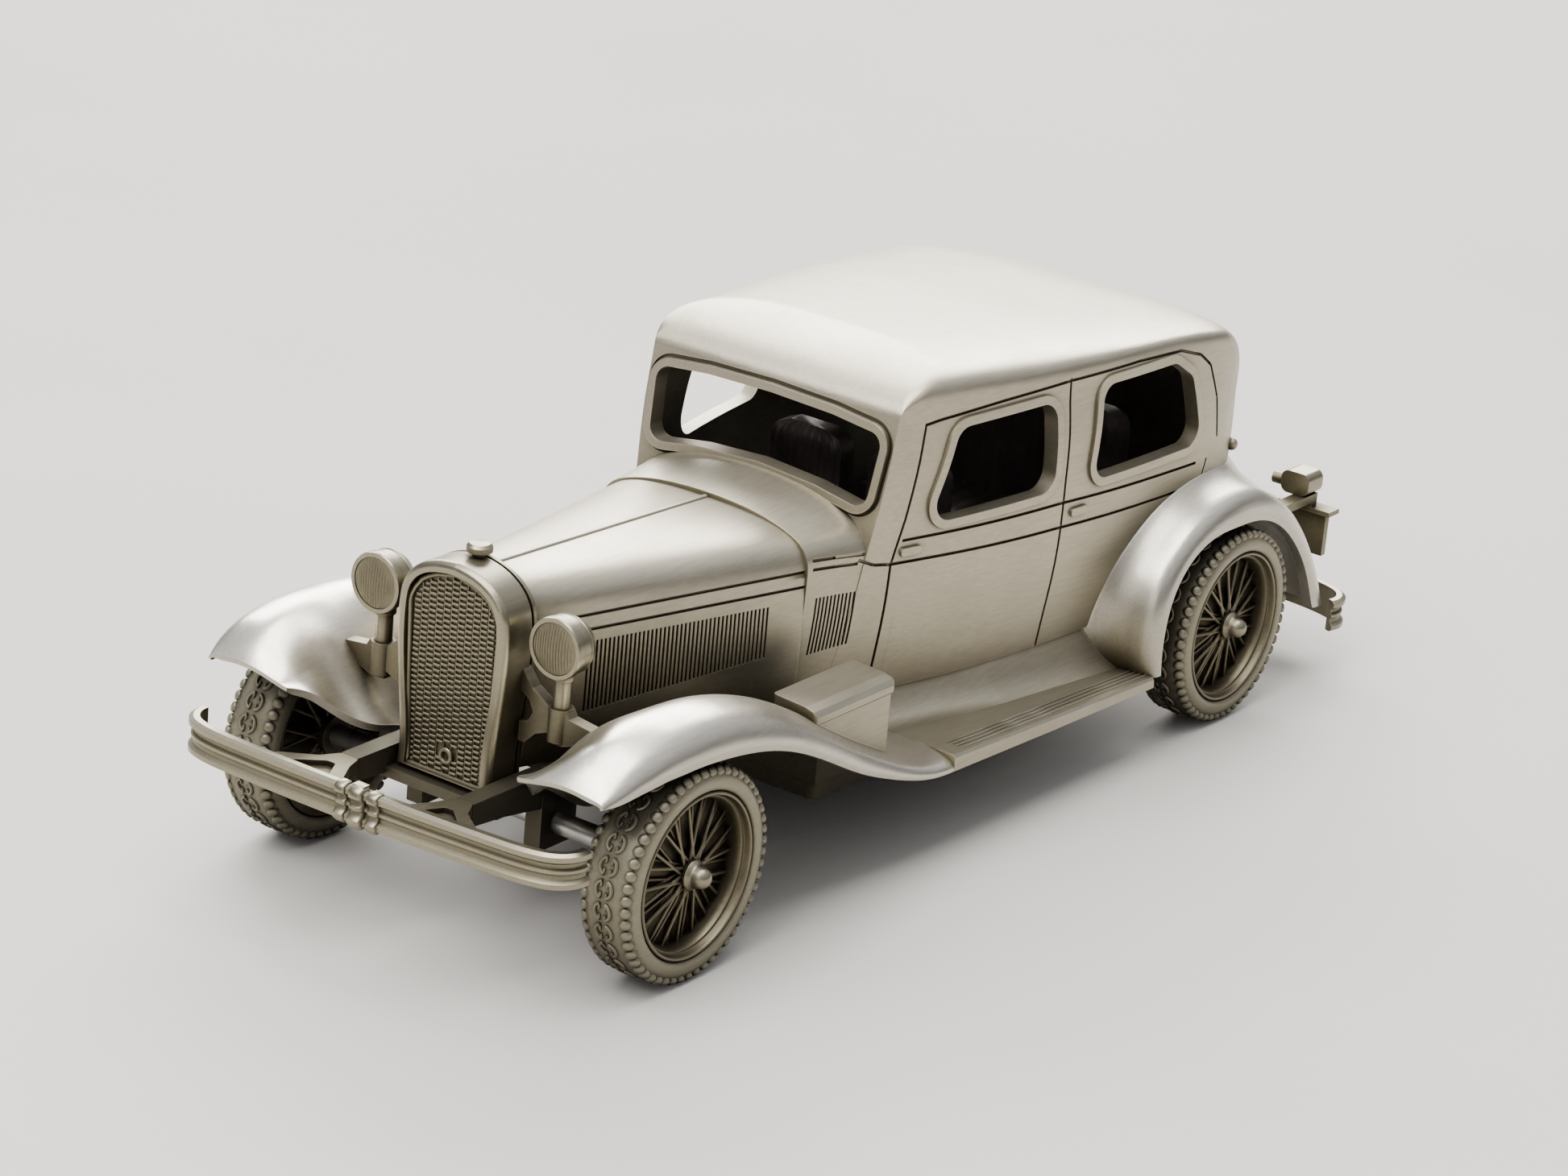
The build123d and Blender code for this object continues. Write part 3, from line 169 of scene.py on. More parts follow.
def pewter(name, light, patina_and_shade_colour, rough=0.36, patina_and_shade_weight=1.0, reach=2.0, brush=0.35, grain=0.2, flank_shade=0.75):
    """Cast pewter: fine brushing, sandy grain, olive patina with painted shade gathered in recesses, edges
    rubbed bright.

    Painted shade also darkens enclosed places and low sides, and the tops are painted lighter than the
    flanks.
    reach is how far, in mm, a recess gathers patina and painted shade. flank_shade is how bright the flanks
    are painted against the tops.
    """
    made, tree, shader = new_material(name)
    place = object_place(tree)
    cloud = noise(tree, place, 170.0, 5.0, 0.6)
    sand = noise(tree, place, 5200.0)
    along = node(tree, "ShaderNodeMapping", {"Vector": place, "Scale": BRUSH_STRETCH}).outputs["Vector"]
    strokes = noise(tree, along, 1.0, 3.0)
    hollow = openness(tree, reach * MM, 6)
    edge = openness(tree, EDGE_REACH, 4, inside=True)
    cave = openness(tree, CAVE_REACH, 6)

    # patina with painted shade: recesses and joins between parts darken towards the patina colour
    patina_and_shade = maths(tree, "POWER", maths(tree, "SUBTRACT", 1.0, hollow, True), 0.8)
    patina_and_shade = maths(tree, "MULTIPLY", patina_and_shade, patina_and_shade_weight)
    patina_and_shade = maths(tree, "ADD", patina_and_shade, swing(tree, cloud, 0.22), True)
    rub = maths(tree, "MULTIPLY", maths(tree, "SUBTRACT", 1.0, edge, True), 1.4, True)
    patina_and_shade = maths(tree, "SUBTRACT", patina_and_shade, maths(tree, "MULTIPLY", rub, 0.45), True)
    # painted shade: lower sides near the floor and partly closed-in places are darkened
    low_side_shade = maths(tree, "MULTIPLY", maths(tree, "SUBTRACT", 0.85, cave, True), 0.55)
    patina_and_shade = maths(tree, "ADD", patina_and_shade, low_side_shade, True)

    # painted light: faces turned up are painted lighter, upright faces darker and warmer as painted shade
    facing = upward(tree, node(tree, "ShaderNodeTexCoord").outputs["Normal"])
    top_light_mask = ramp(tree, facing, [(0.05, 0.0), (0.85, 1.0)])
    shaded_flank = tuple(c * tint * flank_shade for c, tint in zip(light, SHADED_FLANK_TINT))
    top_lit_tone = mix(tree, top_light_mask, shaded_flank, light)
    stroke = ramp(tree, strokes, [(0.3, 0.0), (0.7, 1.0)])
    tone = mix(tree, stroke, (STROKE_SHADE,) * 3, (1.0, 1.0, 1.0))
    tone = node(tree, "ShaderNodeVectorMath", {0: top_lit_tone, 1: tone}, operation="MULTIPLY").outputs[0]
    # painted shade: enclosed places turn near-black
    cave_shade_mask = ramp(tree, cave, [(0.10, 1.0), (0.34, 0.0)])
    colour = mix(tree, cave_shade_mask, mix(tree, patina_and_shade, tone, patina_and_shade_colour), CAVE_SHADE_COLOUR)
    tree.links.new(colour, shader.inputs["Base Color"])
    shader.inputs["Metallic"].default_value = 1.0

    sheen = maths(tree, "ADD", rough, swing(tree, cloud, 0.12))
    sheen = maths(tree, "ADD", sheen, maths(tree, "MULTIPLY", patina_and_shade, 0.3), True)
    tree.links.new(sheen, shader.inputs["Roughness"])

    brushed, sandy = maths(tree, "MULTIPLY", strokes, brush), maths(tree, "MULTIPLY", sand, grain)
    relief = maths(tree, "ADD", brushed, sandy)
    rounding = {"Value": upward(tree, place), "From Min": ROOF_STARTS, "From Max": ROOF_FULL,
                "To Min": SHARP_EDGE, "To Max": SOFT_EDGE}
    radius = node(tree, "ShaderNodeMapRange", rounding).outputs["Result"]
    soft = node(tree, "ShaderNodeBevel", {"Radius": radius}, samples=6).outputs["Normal"]
    bumpy = {"Height": relief, "Strength": 0.35, "Distance": 0.018 * MM, "Normal": soft}
    bump = node(tree, "ShaderNodeBump", bumpy)
    tree.links.new(bump.outputs["Normal"], shader.inputs["Normal"])
    return made


def black_plastic(name):
    """Moulded black insert: glossy, with a fine leather-like grain."""
    made, tree, shader = new_material(name)
    place = object_place(tree)
    grain = node(tree, "ShaderNodeTexVoronoi", {"Vector": place, "Scale": 2600.0}).outputs["Distance"]
    cloud = noise(tree, place, 240.0, 4.0)
    colour = ramp(tree, cloud, [(0.3, (0.030, 0.024, 0.024)), (0.7, (0.070, 0.056, 0.055))])
    tree.links.new(colour, shader.inputs["Base Color"])
    tree.links.new(ramp(tree, cloud, [(0.2, 0.25), (0.8, 0.42)]), shader.inputs["Roughness"])
    bump = node(tree, "ShaderNodeBump", {"Height": grain, "Strength": 0.3, "Distance": 0.02 * MM})
    tree.links.new(bump.outputs["Normal"], shader.inputs["Normal"])
    return made


def steel(name, colour):
    """Turned steel: fine rings about X and a little oil staining."""
    made, tree, shader = new_material(name)
    place = object_place(tree)
    turned = node(tree, "ShaderNodeMapping", {"Vector": place, "Scale": (9000, 90, 90)}).outputs["Vector"]
    rings = noise(tree, turned, 1.0)
    cloud = noise(tree, place, 500.0, 4.0)
    stained = tuple(c * 0.7 for c in colour)
    tree.links.new(ramp(tree, cloud, [(0.3, stained), (0.7, colour)]), shader.inputs["Base Color"])
    tree.links.new(ramp(tree, rings, [(0.2, 0.28), (0.8, 0.45)]), shader.inputs["Roughness"])
    shader.inputs["Metallic"].default_value = 1.0
    return made


OLIVE = (0.085, 0.072, 0.040)
UMBER = (0.040, 0.032, 0.020)
PEWTERS = {
    "pewter_body": dict(light=(0.66, 0.618, 0.515), patina_and_shade_colour=OLIVE, rough=0.37, patina_and_shade_weight=0.95, reach=4.0,
                        flank_shade=0.62),
    "pewter_polished": dict(light=(0.99, 0.95, 0.865), patina_and_shade_colour=OLIVE, rough=0.29, patina_and_shade_weight=1.15, reach=3.5,
                            flank_shade=0.45),
    "pewter_bright": dict(light=(0.37, 0.345, 0.27), patina_and_shade_colour=OLIVE, rough=0.32, patina_and_shade_weight=1.3, reach=1.4),
    "pewter_cast": dict(light=(0.28, 0.258, 0.19), patina_and_shade_colour=UMBER, rough=0.40, patina_and_shade_weight=1.2, grain=0.5),
    "pewter_grille": dict(light=(0.31, 0.285, 0.21), patina_and_shade_colour=UMBER, rough=0.36, reach=0.4, grain=0.3),
    "pewter_dark": dict(light=(0.15, 0.14, 0.11), patina_and_shade_colour=UMBER, rough=0.5, grain=0.6),
    "pewter_tyre": dict(light=(0.37, 0.352, 0.28), patina_and_shade_colour=UMBER, rough=0.46, patina_and_shade_weight=1.5, reach=0.7, brush=0.1,
                        grain=0.6),
    "pewter_wheel": dict(light=(0.27, 0.24, 0.172), patina_and_shade_colour=UMBER, rough=0.34, patina_and_shade_weight=1.5, reach=1.3,
                         grain=0.3),
}
finishes = {name: pewter(name, **settings) for name, settings in PEWTERS.items()}
finishes["screw_steel"] = steel("screw_steel", (0.5, 0.49, 0.46))
finishes["axle_steel"] = steel("axle_steel", (0.45, 0.44, 0.42))
finishes["interior_black"] = black_plastic("interior_black")
for part in frame["record"]["subparts"]:
    shown = frame["nodes"][part["node"]]
    if not shown.material_slots:
        shown.data.materials.append(None)
    for slot in shown.material_slots:
        slot.material = finishes[part["material_slot"]]


# ------------------------------------------------------------ mesh building
class Shape:
    """Closed meshes gathered into one piece, in metres in the car's frame."""

    def __init__(self):
        self.verts = []
        self.faces = []

    def add(self, verts, faces, place=Matrix.Identity(4)):
        """Adds a mesh, moved by place."""
        first = len(self.verts)
        self.verts += [place @ Vector(v) for v in verts]
        self.faces += [[first + i for i in face] for face in faces]

    def ring_skin(self, rings, closed_ring=True, loop=False, place=Matrix.Identity(4)):
        """Skin over rings of equally many points; loop joins the last to the first, else both are capped."""
        n = len(rings[0])
        verts = [p for ring in rings for p in ring]
        faces = []
        for i in range(len(rings) if loop else len(rings) - 1):
            a, b = i * n, ((i + 1) % len(rings)) * n
            for j in range(n if closed_ring else n - 1):
                k = (j + 1) % n
                faces.append([a + j, a + k, b + k, b + j])
        if not loop:
            faces.append(list(range(n))[::-1])
            faces.append([(len(rings) - 1) * n + j for j in range(n)])
        self.add(verts, faces, place)

    def lathe(self, profile, segments=96, place=Matrix.Identity(4), loop=False):
        """Turns an (x, radius) profile about X; loop means a closed section, such as a tyre's."""
        rings = []
        for k in range(segments):
            a = 2 * math.pi * k / segments
            rings.append([Vector((x, r * math.cos(a), r * math.sin(a))) for x, r in profile])
        self.ring_skin(rings, closed_ring=loop, loop=True, place=place)

    def rod(self, start, end, r0, r1, sides=8):
        """Round tapered rod between two points."""
        along = (end - start).normalized()
        u = along.orthogonal().normalized()
        v = along.cross(u)
        rings = []
        for centre, r in ((start, r0), (end, r1)):
            turn = [2 * math.pi * k / sides for k in range(sides)]
            rings.append([centre + (u * math.cos(a) + v * math.sin(a)) * r for a in turn])
        self.ring_skin(rings)

    def tube(self, points, radius, sides=6, squeeze=1.0, up=Vector((0, 0, 1)), closed=False):
        """Tube along points; squeeze flattens it along up."""
        rings = []
        count = len(points)
        for i, p in enumerate(points):
            before = points[(i - 1) % count] if closed else points[max(i - 1, 0)]
            after = points[(i + 1) % count] if closed else points[min(i + 1, count - 1)]
            along = (after - before).normalized()
            side = along.cross(up).normalized()
            top = side.cross(along).normalized()
            turn = [2 * math.pi * k / sides for k in range(sides)]
            offsets = [side * math.cos(a) * radius + top * math.sin(a) * radius * squeeze for a in turn]
            rings.append([p + offset for offset in offsets])
        self.ring_skin(rings, loop=closed)

    def block(self, low, high, bevel=0.0):
        """Block between two corners; bevel is the chamfer round its -Y face."""
        (x0, y0, z0), (x1, y1, z1) = low, high
        b = bevel
        front = [(x0 + b, y0, z0 + b), (x1 - b, y0, z0 + b), (x1 - b, y0, z1 - b), (x0 + b, y0, z1 - b)]
        middle = [(x0, y0 + b, z0), (x1, y0 + b, z0), (x1, y0 + b, z1), (x0, y0 + b, z1)]
        back = [(x0, y1, z0), (x1, y1, z0), (x1, y1, z1), (x0, y1, z1)]
        self.ring_skin([front, middle, back] if b else [middle, back])


def show(name, data):
    """Puts data into the scene as an object."""
    made = bpy.data.objects.new(name, data)
    bpy.context.scene.collection.objects.link(made)
    return made


def piece(name, shape, body, slot_name, stands_for=(), smooth=40.0):
    """Turns a Shape into a shown object that rides on a body and takes a finish."""
    mesh = bpy.data.meshes.new(name)
    mesh.from_pydata([tuple(v) for v in shape.verts], [], shape.faces)
    work = bmesh.new()
    work.from_mesh(mesh)
    bmesh.ops.remove_doubles(work, verts=work.verts, dist=1e-7)
    bmesh.ops.dissolve_degenerate(work, edges=work.edges, dist=1e-8)
    bmesh.ops.recalc_face_normals(work, faces=work.faces)
    work.to_mesh(mesh)
    work.free()
    mesh.shade_smooth()
    mesh.set_sharp_from_angle(angle=math.radians(smooth))
    mesh.materials.append(finishes[slot_name])
    made = show(name, mesh)
    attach(made, body)
    if stands_for:
        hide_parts(*stands_for)
    return made


# ------------------------------------------------------------------ wheels
RIM_RADIUS = 6.05 * MM
TREAD_DEPTH = 0.17 * MM
TREAD_BUTTONS = 54
TREAD_RINGS = 30
BUTTON_PROFILE = [(-0.12, 0.0), (-0.12, 0.40), (0.08, 0.40), (0.17, 0.35), (0.235, 0.22), (0.255, 0.0)]
SPOKES = 20
# Each fan: (x, radius) at the hub and at the rim, twist, shift in spokes, thickness at the hub and the rim.
SPOKE_FANS = (((1.22, 0.98), (0.62, 5.28), 0.36, 0.0, (0.14375, 0.125)),
              ((0.92, 1.05), (0.34, 5.28), -0.36, 0.5, (0.13225, 0.115)),
              ((-1.3, 1.4), (-0.9, 5.25), 0.3, 0.0, (0.13, 0.11)))
RIM_PROFILE = [(1.20, 6.02), (1.78, 6.06), (1.98, 6.0), (2.04, 5.9), (2.02, 5.8), (1.9, 5.72), (1.62, 5.70),
               (1.52, 5.62), (1.5, 5.5), (1.35, 5.4), (0.95, 5.34), (0.6, 5.26), (0.2, 5.2), (-0.7, 5.15),
               (-1.5, 5.3), (-1.75, 5.7), (-1.95, 5.95), (-1.8, 6.03)]
WEB_PROFILE = [(0.80, 0.7), (0.72, 1.3), (0.42, 3.0), (0.20, 4.5), (0.12, 5.25), (-0.2, 5.25), (-0.15, 4.4),
               (0.05, 3.0), (0.2, 1.6), (0.2, 0.7)]
HUB_PROFILE = [(-1.9, 0.0), (-1.9, 1.5), (-0.8, 1.5), (-0.5, 1.2), (0.6, 1.15), (0.95, 1.05), (1.15, 0.95),
               (1.3, 1.0), (1.42, 1.08), (1.5, 1.08), (1.5, 0.0)]
CAP_PROFILE = [(1.5, 0.0), (1.5, 1.06), (1.62, 1.10), (1.74, 1.04), (1.86, 0.88), (2.05, 0.82), (2.3, 0.78),
               (2.55, 0.70), (2.75, 0.57), (2.9, 0.38), (2.98, 0.18), (3.0, 0.0)]


def in_metres(profile):
    """A profile in mm as one in metres."""
    return [(x * MM, r * MM) for x, r in profile]


def round_x(x, radius, angle):
    """A point at a radius and angle round the X axis."""
    return Vector((x, radius * math.cos(angle), radius * math.sin(angle)))


def tyre_section(base):
    """Section of the tyre, with broad flat sidewalls; base is the radius of the tread's floor."""
    h = TYRE_HALF
    half = [(0.0, base), (0.45 * h, base), (0.62 * h, base - 0.05 * MM), (0.76 * h, base - 0.16 * MM),
            (0.88 * h, base - 0.42 * MM), (0.965 * h, base - 0.78 * MM), (h, base - 1.1 * MM),
            (h * 0.995, RIM_RADIUS + 0.35 * MM), (h * 0.965, RIM_RADIUS + 0.16 * MM),
            (h * 0.9, RIM_RADIUS + 0.03 * MM), (h * 0.78, RIM_RADIUS - 0.02 * MM)]
    return half + [(-x, r) for x, r in reversed(half[1:])]


def shoulder_buttons(made, side, base):
    """Round buttons along one shoulder, those of the two shoulders staggered."""
    for k in range(TREAD_BUTTONS):
        a = 2 * math.pi * (k + (0.5 if side < 0 else 0)) / TREAD_BUTTONS
        out = Matrix.Rotation(a, 4, "X") @ Matrix.Translation((side * TYRE_HALF * 0.80, 0, base - 0.24 * MM))
        out = out @ Matrix.Rotation(side * 0.60, 4, "Y") @ Matrix.Rotation(-math.pi / 2, 4, "Y")
        made.lathe(in_metres(BUTTON_PROFILE), 12, place=out)


def split_ring(made, side, turn):
    """Half of a split ring of tread, with two short bars inside it."""
    floor_radius = TYRE_RADIUS - 0.13 * MM

    def on_tread(x, arc):
        return Vector((side * x * MM, -math.sin(arc) * floor_radius, math.cos(arc) * floor_radius))

    path = []
    for i in range(9):
        t = math.radians(-78 + 156 * i / 8)
        path.append(on_tread(0.10 + 0.56 * math.cos(t), turn + 0.60 * MM * math.sin(t) / TYRE_RADIUS))
    made.tube(path, 0.14 * MM, up=Vector((0, -math.sin(turn), math.cos(turn))), squeeze=0.9)
    for way in (-1, 1):
        foot, tip = (on_tread(0.26, turn + way * reach * MM / TYRE_RADIUS) for reach in (0.2, 0.5))
        made.rod(foot, tip, 0.10 * MM, 0.10 * MM, 6)


def tyre_shape():
    """Tyre at the origin about X: flat sidewalls, shoulder buttons and a row of split rings."""
    made = Shape()
    base = TYRE_RADIUS - TREAD_DEPTH
    made.lathe(tyre_section(base), 144, loop=True)
    for side in (1, -1):
        shoulder_buttons(made, side, base)
    for k in range(TREAD_RINGS):
        for side in (1, -1):
            split_ring(made, side, 2 * math.pi * k / TREAD_RINGS)
    return made


def wheel_shape():
    """Cast wire wheel, outer face towards +X: stepped rim, dished web, fans of crossed spokes and the hub."""
    made = Shape()
    made.lathe(in_metres(RIM_PROFILE), 120, loop=True)
    made.lathe(in_metres(WEB_PROFILE), 96, loop=True)
    made.lathe(in_metres(HUB_PROFILE), 48)
    for k in range(SPOKES):
        lean = 1 if k % 2 == 0 else -1
        for (x_hub, r_hub), (x_rim, r_rim), twist, shift, (thick_hub, thick_rim) in SPOKE_FANS:
            a = 2 * math.pi * (k + shift) / SPOKES
            foot, tip = round_x(x_hub, r_hub, a + lean * twist), round_x(x_rim, r_rim, a)
            made.rod(foot * MM, tip * MM, thick_hub * MM, thick_rim * MM)
    return made


def cap_shape():
    """Bullet-nosed hub cap with a flared skirt."""
    made = Shape()
    made.lathe(in_metres(CAP_PROFILE), 40)
    return made


def placed(shape, place):
    """A copy of a Shape moved to its place."""
    made = Shape()
    made.add(shape.verts, shape.faces, place)
    return made


tyre, wheel, cap = tyre_shape(), wheel_shape(), cap_shape()
for end, axle in (("front", front_axle), ("rear", rear_axle)):
    body = "%s_wheelset" % end
    for word, sign in (("left", 1), ("right", -1)):
        spot = Matrix.Translation((sign * TYRE_X, axle.y, axle.z))
        spot = spot @ Matrix.Rotation(0 if sign > 0 else math.pi, 4, "Z")
        corner = "%s_%s" % (end, word)
        for shape, name, finish, node_name in (
                (tyre, "%s_tread_tyre" % corner, "pewter_tyre", "%s_tyre_%s" % (end, word)),
                (wheel, "%s_spoked_wheel" % corner, "pewter_wheel", "%s_wheel_%s" % (end, word)),
                (cap, "%s_bullet_cap" % corner, "pewter_bright", "%s_hub_cap_%s" % (end, word))):
            piece(name, placed(shape, spot), body, finish, [node_name])


# ------------------------------------------------------------------ grille
GRILLE_OUTLINE = [(3.75, 10.85), (4.1, 17.0), (4.35, 22.6), (4.1, 23.9), (3.25, 25.0), (1.7, 25.75),
                  (0.0, 26.0)]                    # (half width, height) of the opening
GRILLE_LOW, GRILLE_HIGH = 10.9, 25.55
GRILLE_FRONT = -39.15
GRILLE_COLUMNS = 11
GRILLE_PITCH = 7.15 / GRILLE_COLUMNS
DASH_PITCH, DASH_HEIGHT, DASH_HALF = 0.40, 0.2, 0.27
RIB_HALF = 0.035
CRANK_Z = 12.4
CRANK_PROFILE = [(0.5, 0.60), (-0.14, 0.60), (-0.2, 0.54), (-0.2, 0.36), (-0.12, 0.32), (0.35, 0.32)]


def grille_half_width(z, shrink):
    """Half width of the grille opening at a height, in mm, drawn in by shrink."""
    z = z + (shrink if z > 23.0 else 0.0)
    if z < GRILLE_OUTLINE[0][1] or z >= GRILLE_OUTLINE[-1][1]:
        return 0.0
    for (x0, z0), (x1, z1) in zip(GRILLE_OUTLINE, GRILLE_OUTLINE[1:]):
        if z0 <= z < z1:
            return x0 + (x1 - x0) * (z - z0) / (z1 - z0) - shrink
    return 0.0


def at_datum(x, y, z):
    """A point in mm from the mid-wheelbase datum, as metres in the car's frame."""
    return datum + Vector((x, y, z)) * MM


def grille_plate(made):
    """Backing plate with a bead round its rim."""
    steps = 40
    right = []
    for i in range(steps + 1):
        z = GRILLE_LOW + (GRILLE_HIGH - GRILLE_LOW) * i / steps
        right.append((max(grille_half_width(z, 0.40), 0.05), z))
    rim = right + [(-x, z) for x, z in reversed(right)]
    plate = [[at_datum(x, GRILLE_FRONT + behind, z) for x, z in rim] for behind in (0.10, 0.5)]
    made.ring_skin(plate)
    bead = [at_datum(x, GRILLE_FRONT - 0.02, z) for x, z in rim]
    made.tube(bead, 0.19 * MM, sides=8, up=Vector((0, 1, 0)), closed=True)


def grille_dashes(made, column):
    """One column of dashes, every second column staggered, clear of the rim and of the crank boss."""
    middle = (column - (GRILLE_COLUMNS - 1) / 2) * GRILLE_PITCH
    for row in range(int(15.0 / DASH_PITCH)):
        z = 11.15 + DASH_PITCH * (row + (0.5 if column % 2 else 0.0))
        room = min(grille_half_width(z, 0.62), grille_half_width(z + DASH_HEIGHT, 0.62))
        low, high = max(middle - DASH_HALF, -room), min(middle + DASH_HALF, room)
        if high - low < 0.12 or math.hypot(middle, z - CRANK_Z) < 0.75:
            continue
        front = at_datum(low, GRILLE_FRONT - 0.1, z)
        made.block(front, at_datum(high, GRILLE_FRONT + 0.16, z + DASH_HEIGHT), 0.05 * MM)


def grille_rib(made, rib):
    """Thin upright rib between two columns, up to the rim."""
    x = (rib - GRILLE_COLUMNS / 2) * GRILLE_PITCH
    top = 25.4
    while grille_half_width(top, 0.5) < abs(x):
        top -= 0.1
    foot = at_datum(x - RIB_HALF, GRILLE_FRONT - 0.02, 11.0)
    made.block(foot, at_datum(x + RIB_HALF, GRILLE_FRONT + 0.16, top))


def grille_shape():
    """Staggered dashes between thin ribs on a rimmed plate, with the starting-handle boss."""
    made = Shape()
    grille_plate(made)
    for column in range(GRILLE_COLUMNS):
        grille_dashes(made, column)
    for rib in range(1, GRILLE_COLUMNS):
        grille_rib(made, rib)
    turned = Matrix.Translation(at_datum(0, GRILLE_FRONT, CRANK_Z)) @ Matrix.Rotation(math.pi / 2, 4, "Z")
    made.lathe(in_metres(CRANK_PROFILE), 32, turned)
    return made


piece("grille_mesh", grille_shape(), "car", "pewter_grille", ["radiator_grille"], smooth=30)


# ------------------------------------------------------------- lamp lenses
LAMP_X, LAMP_FACE, LAMP_Z = 7.93, -38.3, 22.4
LENS_RADIUS = 1.84
LENS_DOME = 0.22
FLUTE_DEPTH, FLUTE_PITCH = 0.030, 0.235


def lens_shape(side):
    """Shallow domed lamp glass, cast in metal, reeded with fine upright flutes."""
    made = Shape()
    across, up = 80, 28
    rings = []
    for i in range(up + 1):
        v = -1 + 2 * i / up
        z = LENS_RADIUS * math.sin(v * math.pi / 2)
        half = math.sqrt(max(LENS_RADIUS ** 2 - z * z, 0.0))
        half = max(half, 0.02)
        row = []
        for j in range(across + 1):
            x = -half + 2 * half * j / across
            r = math.hypot(x, z) / LENS_RADIUS
            fade = max(0.0, min(1.0, (1.0 - r) * 9))
            flute = FLUTE_DEPTH * math.cos(2 * math.pi * x / FLUTE_PITCH) * fade
            dome = 0.06 - LENS_DOME * (1 - r * r)
            row.append(at_datum(side * LAMP_X + x, LAMP_FACE + dome + flute, LAMP_Z + z))
        back = [at_datum(side * LAMP_X + x, LAMP_FACE + 0.11, LAMP_Z + z) for x in (half, -half)]
        rings.append(row + back)
    made.ring_skin(rings)
    return made


for word, side in (("left", 1), ("right", -1)):
    piece("lamp_lens_%s" % word, lens_shape(side), "car", "pewter_cast", smooth=25)


# ------------------------------------------------------------ bumper clamp
BAR_HALF = [(0.27, 0.11), (0.10, 0.24), (0.16, 0.54), (0.46, 0.78), (0.44, 1.16), (0.1, 1.34), (-0.30, 1.34)]
BAR_SECTION = [(out, -up) for out, up in reversed(BAR_HALF)] + BAR_HALF   # (out, up) from the bar's middle
BAR_Y, BAR_Z = -47.95, 11.25
KNUCKLES = ((-1.42, 0.46, 0.14), (0.0, 0.62, 0.26), (1.42, 0.46, 0.14))   # middle, half width, thickness
KNUCKLE_SWELL = ((-1.0, 0.0), (-0.86, 0.62), (-0.6, 0.92), (0.0, 1.0), (0.6, 0.92), (0.86, 0.62),
                 (1.0, 0.0))                      # (place across the half width, share of the thickness)


def knuckle_ring(x, thick):
    """The bar's section at x, thicker in front, above and below."""
    ring = []
    for out, up in BAR_SECTION:
        ahead = thick if out > 0 else 0
        rise = math.copysign(thick * 0.7, up) if abs(up) > 1.2 else 0
        ring.append(at_datum(x, BAR_Y - out - ahead, BAR_Z + up + rise))
    return ring


def clamp_shape():
    """Three knuckles that follow the ribs of the bar, the middle one the largest, and a small lug on top."""
    made = Shape()
    for middle, half, grow in KNUCKLES:
        rings = []
        for place, swell in KNUCKLE_SWELL:
            rings.append(knuckle_ring(middle + half * place, grow * swell + 0.03))
        made.ring_skin(rings)
    made.block(at_datum(-0.5, BAR_Y - 0.3, 12.5), at_datum(0.5, BAR_Y + 0.4, 12.86), 0.08 * MM)
    return made


piece("bumper_knuckles", clamp_shape(), "car", "pewter_bright", ["front_bumper_clamp"], smooth=50)


# ----------------------------------------------------- running board strips
BOARD_TOP = [(-4.3, 8.2), (8.0, 7.6), (22.9, 6.95)]       # (y, z) along the board
STRIP_FRONT, STRIP_REAR = -2.6, 22.2
STRIP_RIBS, STRIP_X, STRIP_PITCH = 4, 16.55, 0.42


def board_top(y):
    """Height of the running board's flat, in mm."""
    for (y0, z0), (y1, z1) in zip(BOARD_TOP, BOARD_TOP[1:]):
        if y <= y1:
            return z0 + (z1 - z0) * (y - y0) / (y1 - y0)
    return BOARD_TOP[-1][1]


def strip_shape(side):
    """Thin ribs along the running board."""
    made = Shape()
    steps = 24
    for rib in range(STRIP_RIBS):
        x = side * (STRIP_X + STRIP_PITCH * rib)
        along = [STRIP_FRONT + (STRIP_REAR - STRIP_FRONT) * i / steps for i in range(steps + 1)]
        made.tube([at_datum(x, y, board_top(y) + 0.02) for y in along], 0.085 * MM)
    return made


for word, side in (("left", 1), ("right", -1)):
    piece("tread_strip_%s" % word, strip_shape(side), "car", "pewter_body", smooth=60)


# ------------------------------------------------------------------- seats
SEAT_FOOT = 10.6
BACK_CORNER = 1.6
SEAT_ACROSS = 96


def fluting(x, start, pitch):
    """1 on the crest of each flute and 0 in the groove between two."""
    return abs(math.cos(math.pi * (x - start) / pitch)) ** 0.6


def fluted_back(made, x0, x1, front_y, rear_y, top, pitch):
    """Padded seat back with rounded top corners, its front fluted upright."""
    up = 14
    rings = []
    for i in range(up + 1):
        z = SEAT_FOOT + (top - SEAT_FOOT) * (1 - (1 - i / up) ** 1.35)
        drop = top - z
        pull = BACK_CORNER - math.sqrt(max(BACK_CORNER ** 2 - max(BACK_CORNER - drop, 0.0) ** 2, 0.0))
        row = []
        for j in range(SEAT_ACROSS + 1):
            s = j / SEAT_ACROSS
            x = (x0 + pull) + (x1 - x0 - 2 * pull) * s
            edge = min(s, 1 - s) * (x1 - x0)
            puff = 0.30 * min(1.0, edge / 0.8) * min(1.0, max(drop, 0.02) / 1.1)
            crest = 0.16 * fluting(x, x0, pitch) * min(1.0, drop / 0.5)
            row.append(at_datum(x, front_y + 0.35 - puff - crest, z))
        row += [at_datum(x1 - pull, rear_y, z), at_datum(x0 + pull, rear_y, z)]
        rings.append(row)
    made.ring_skin(rings)


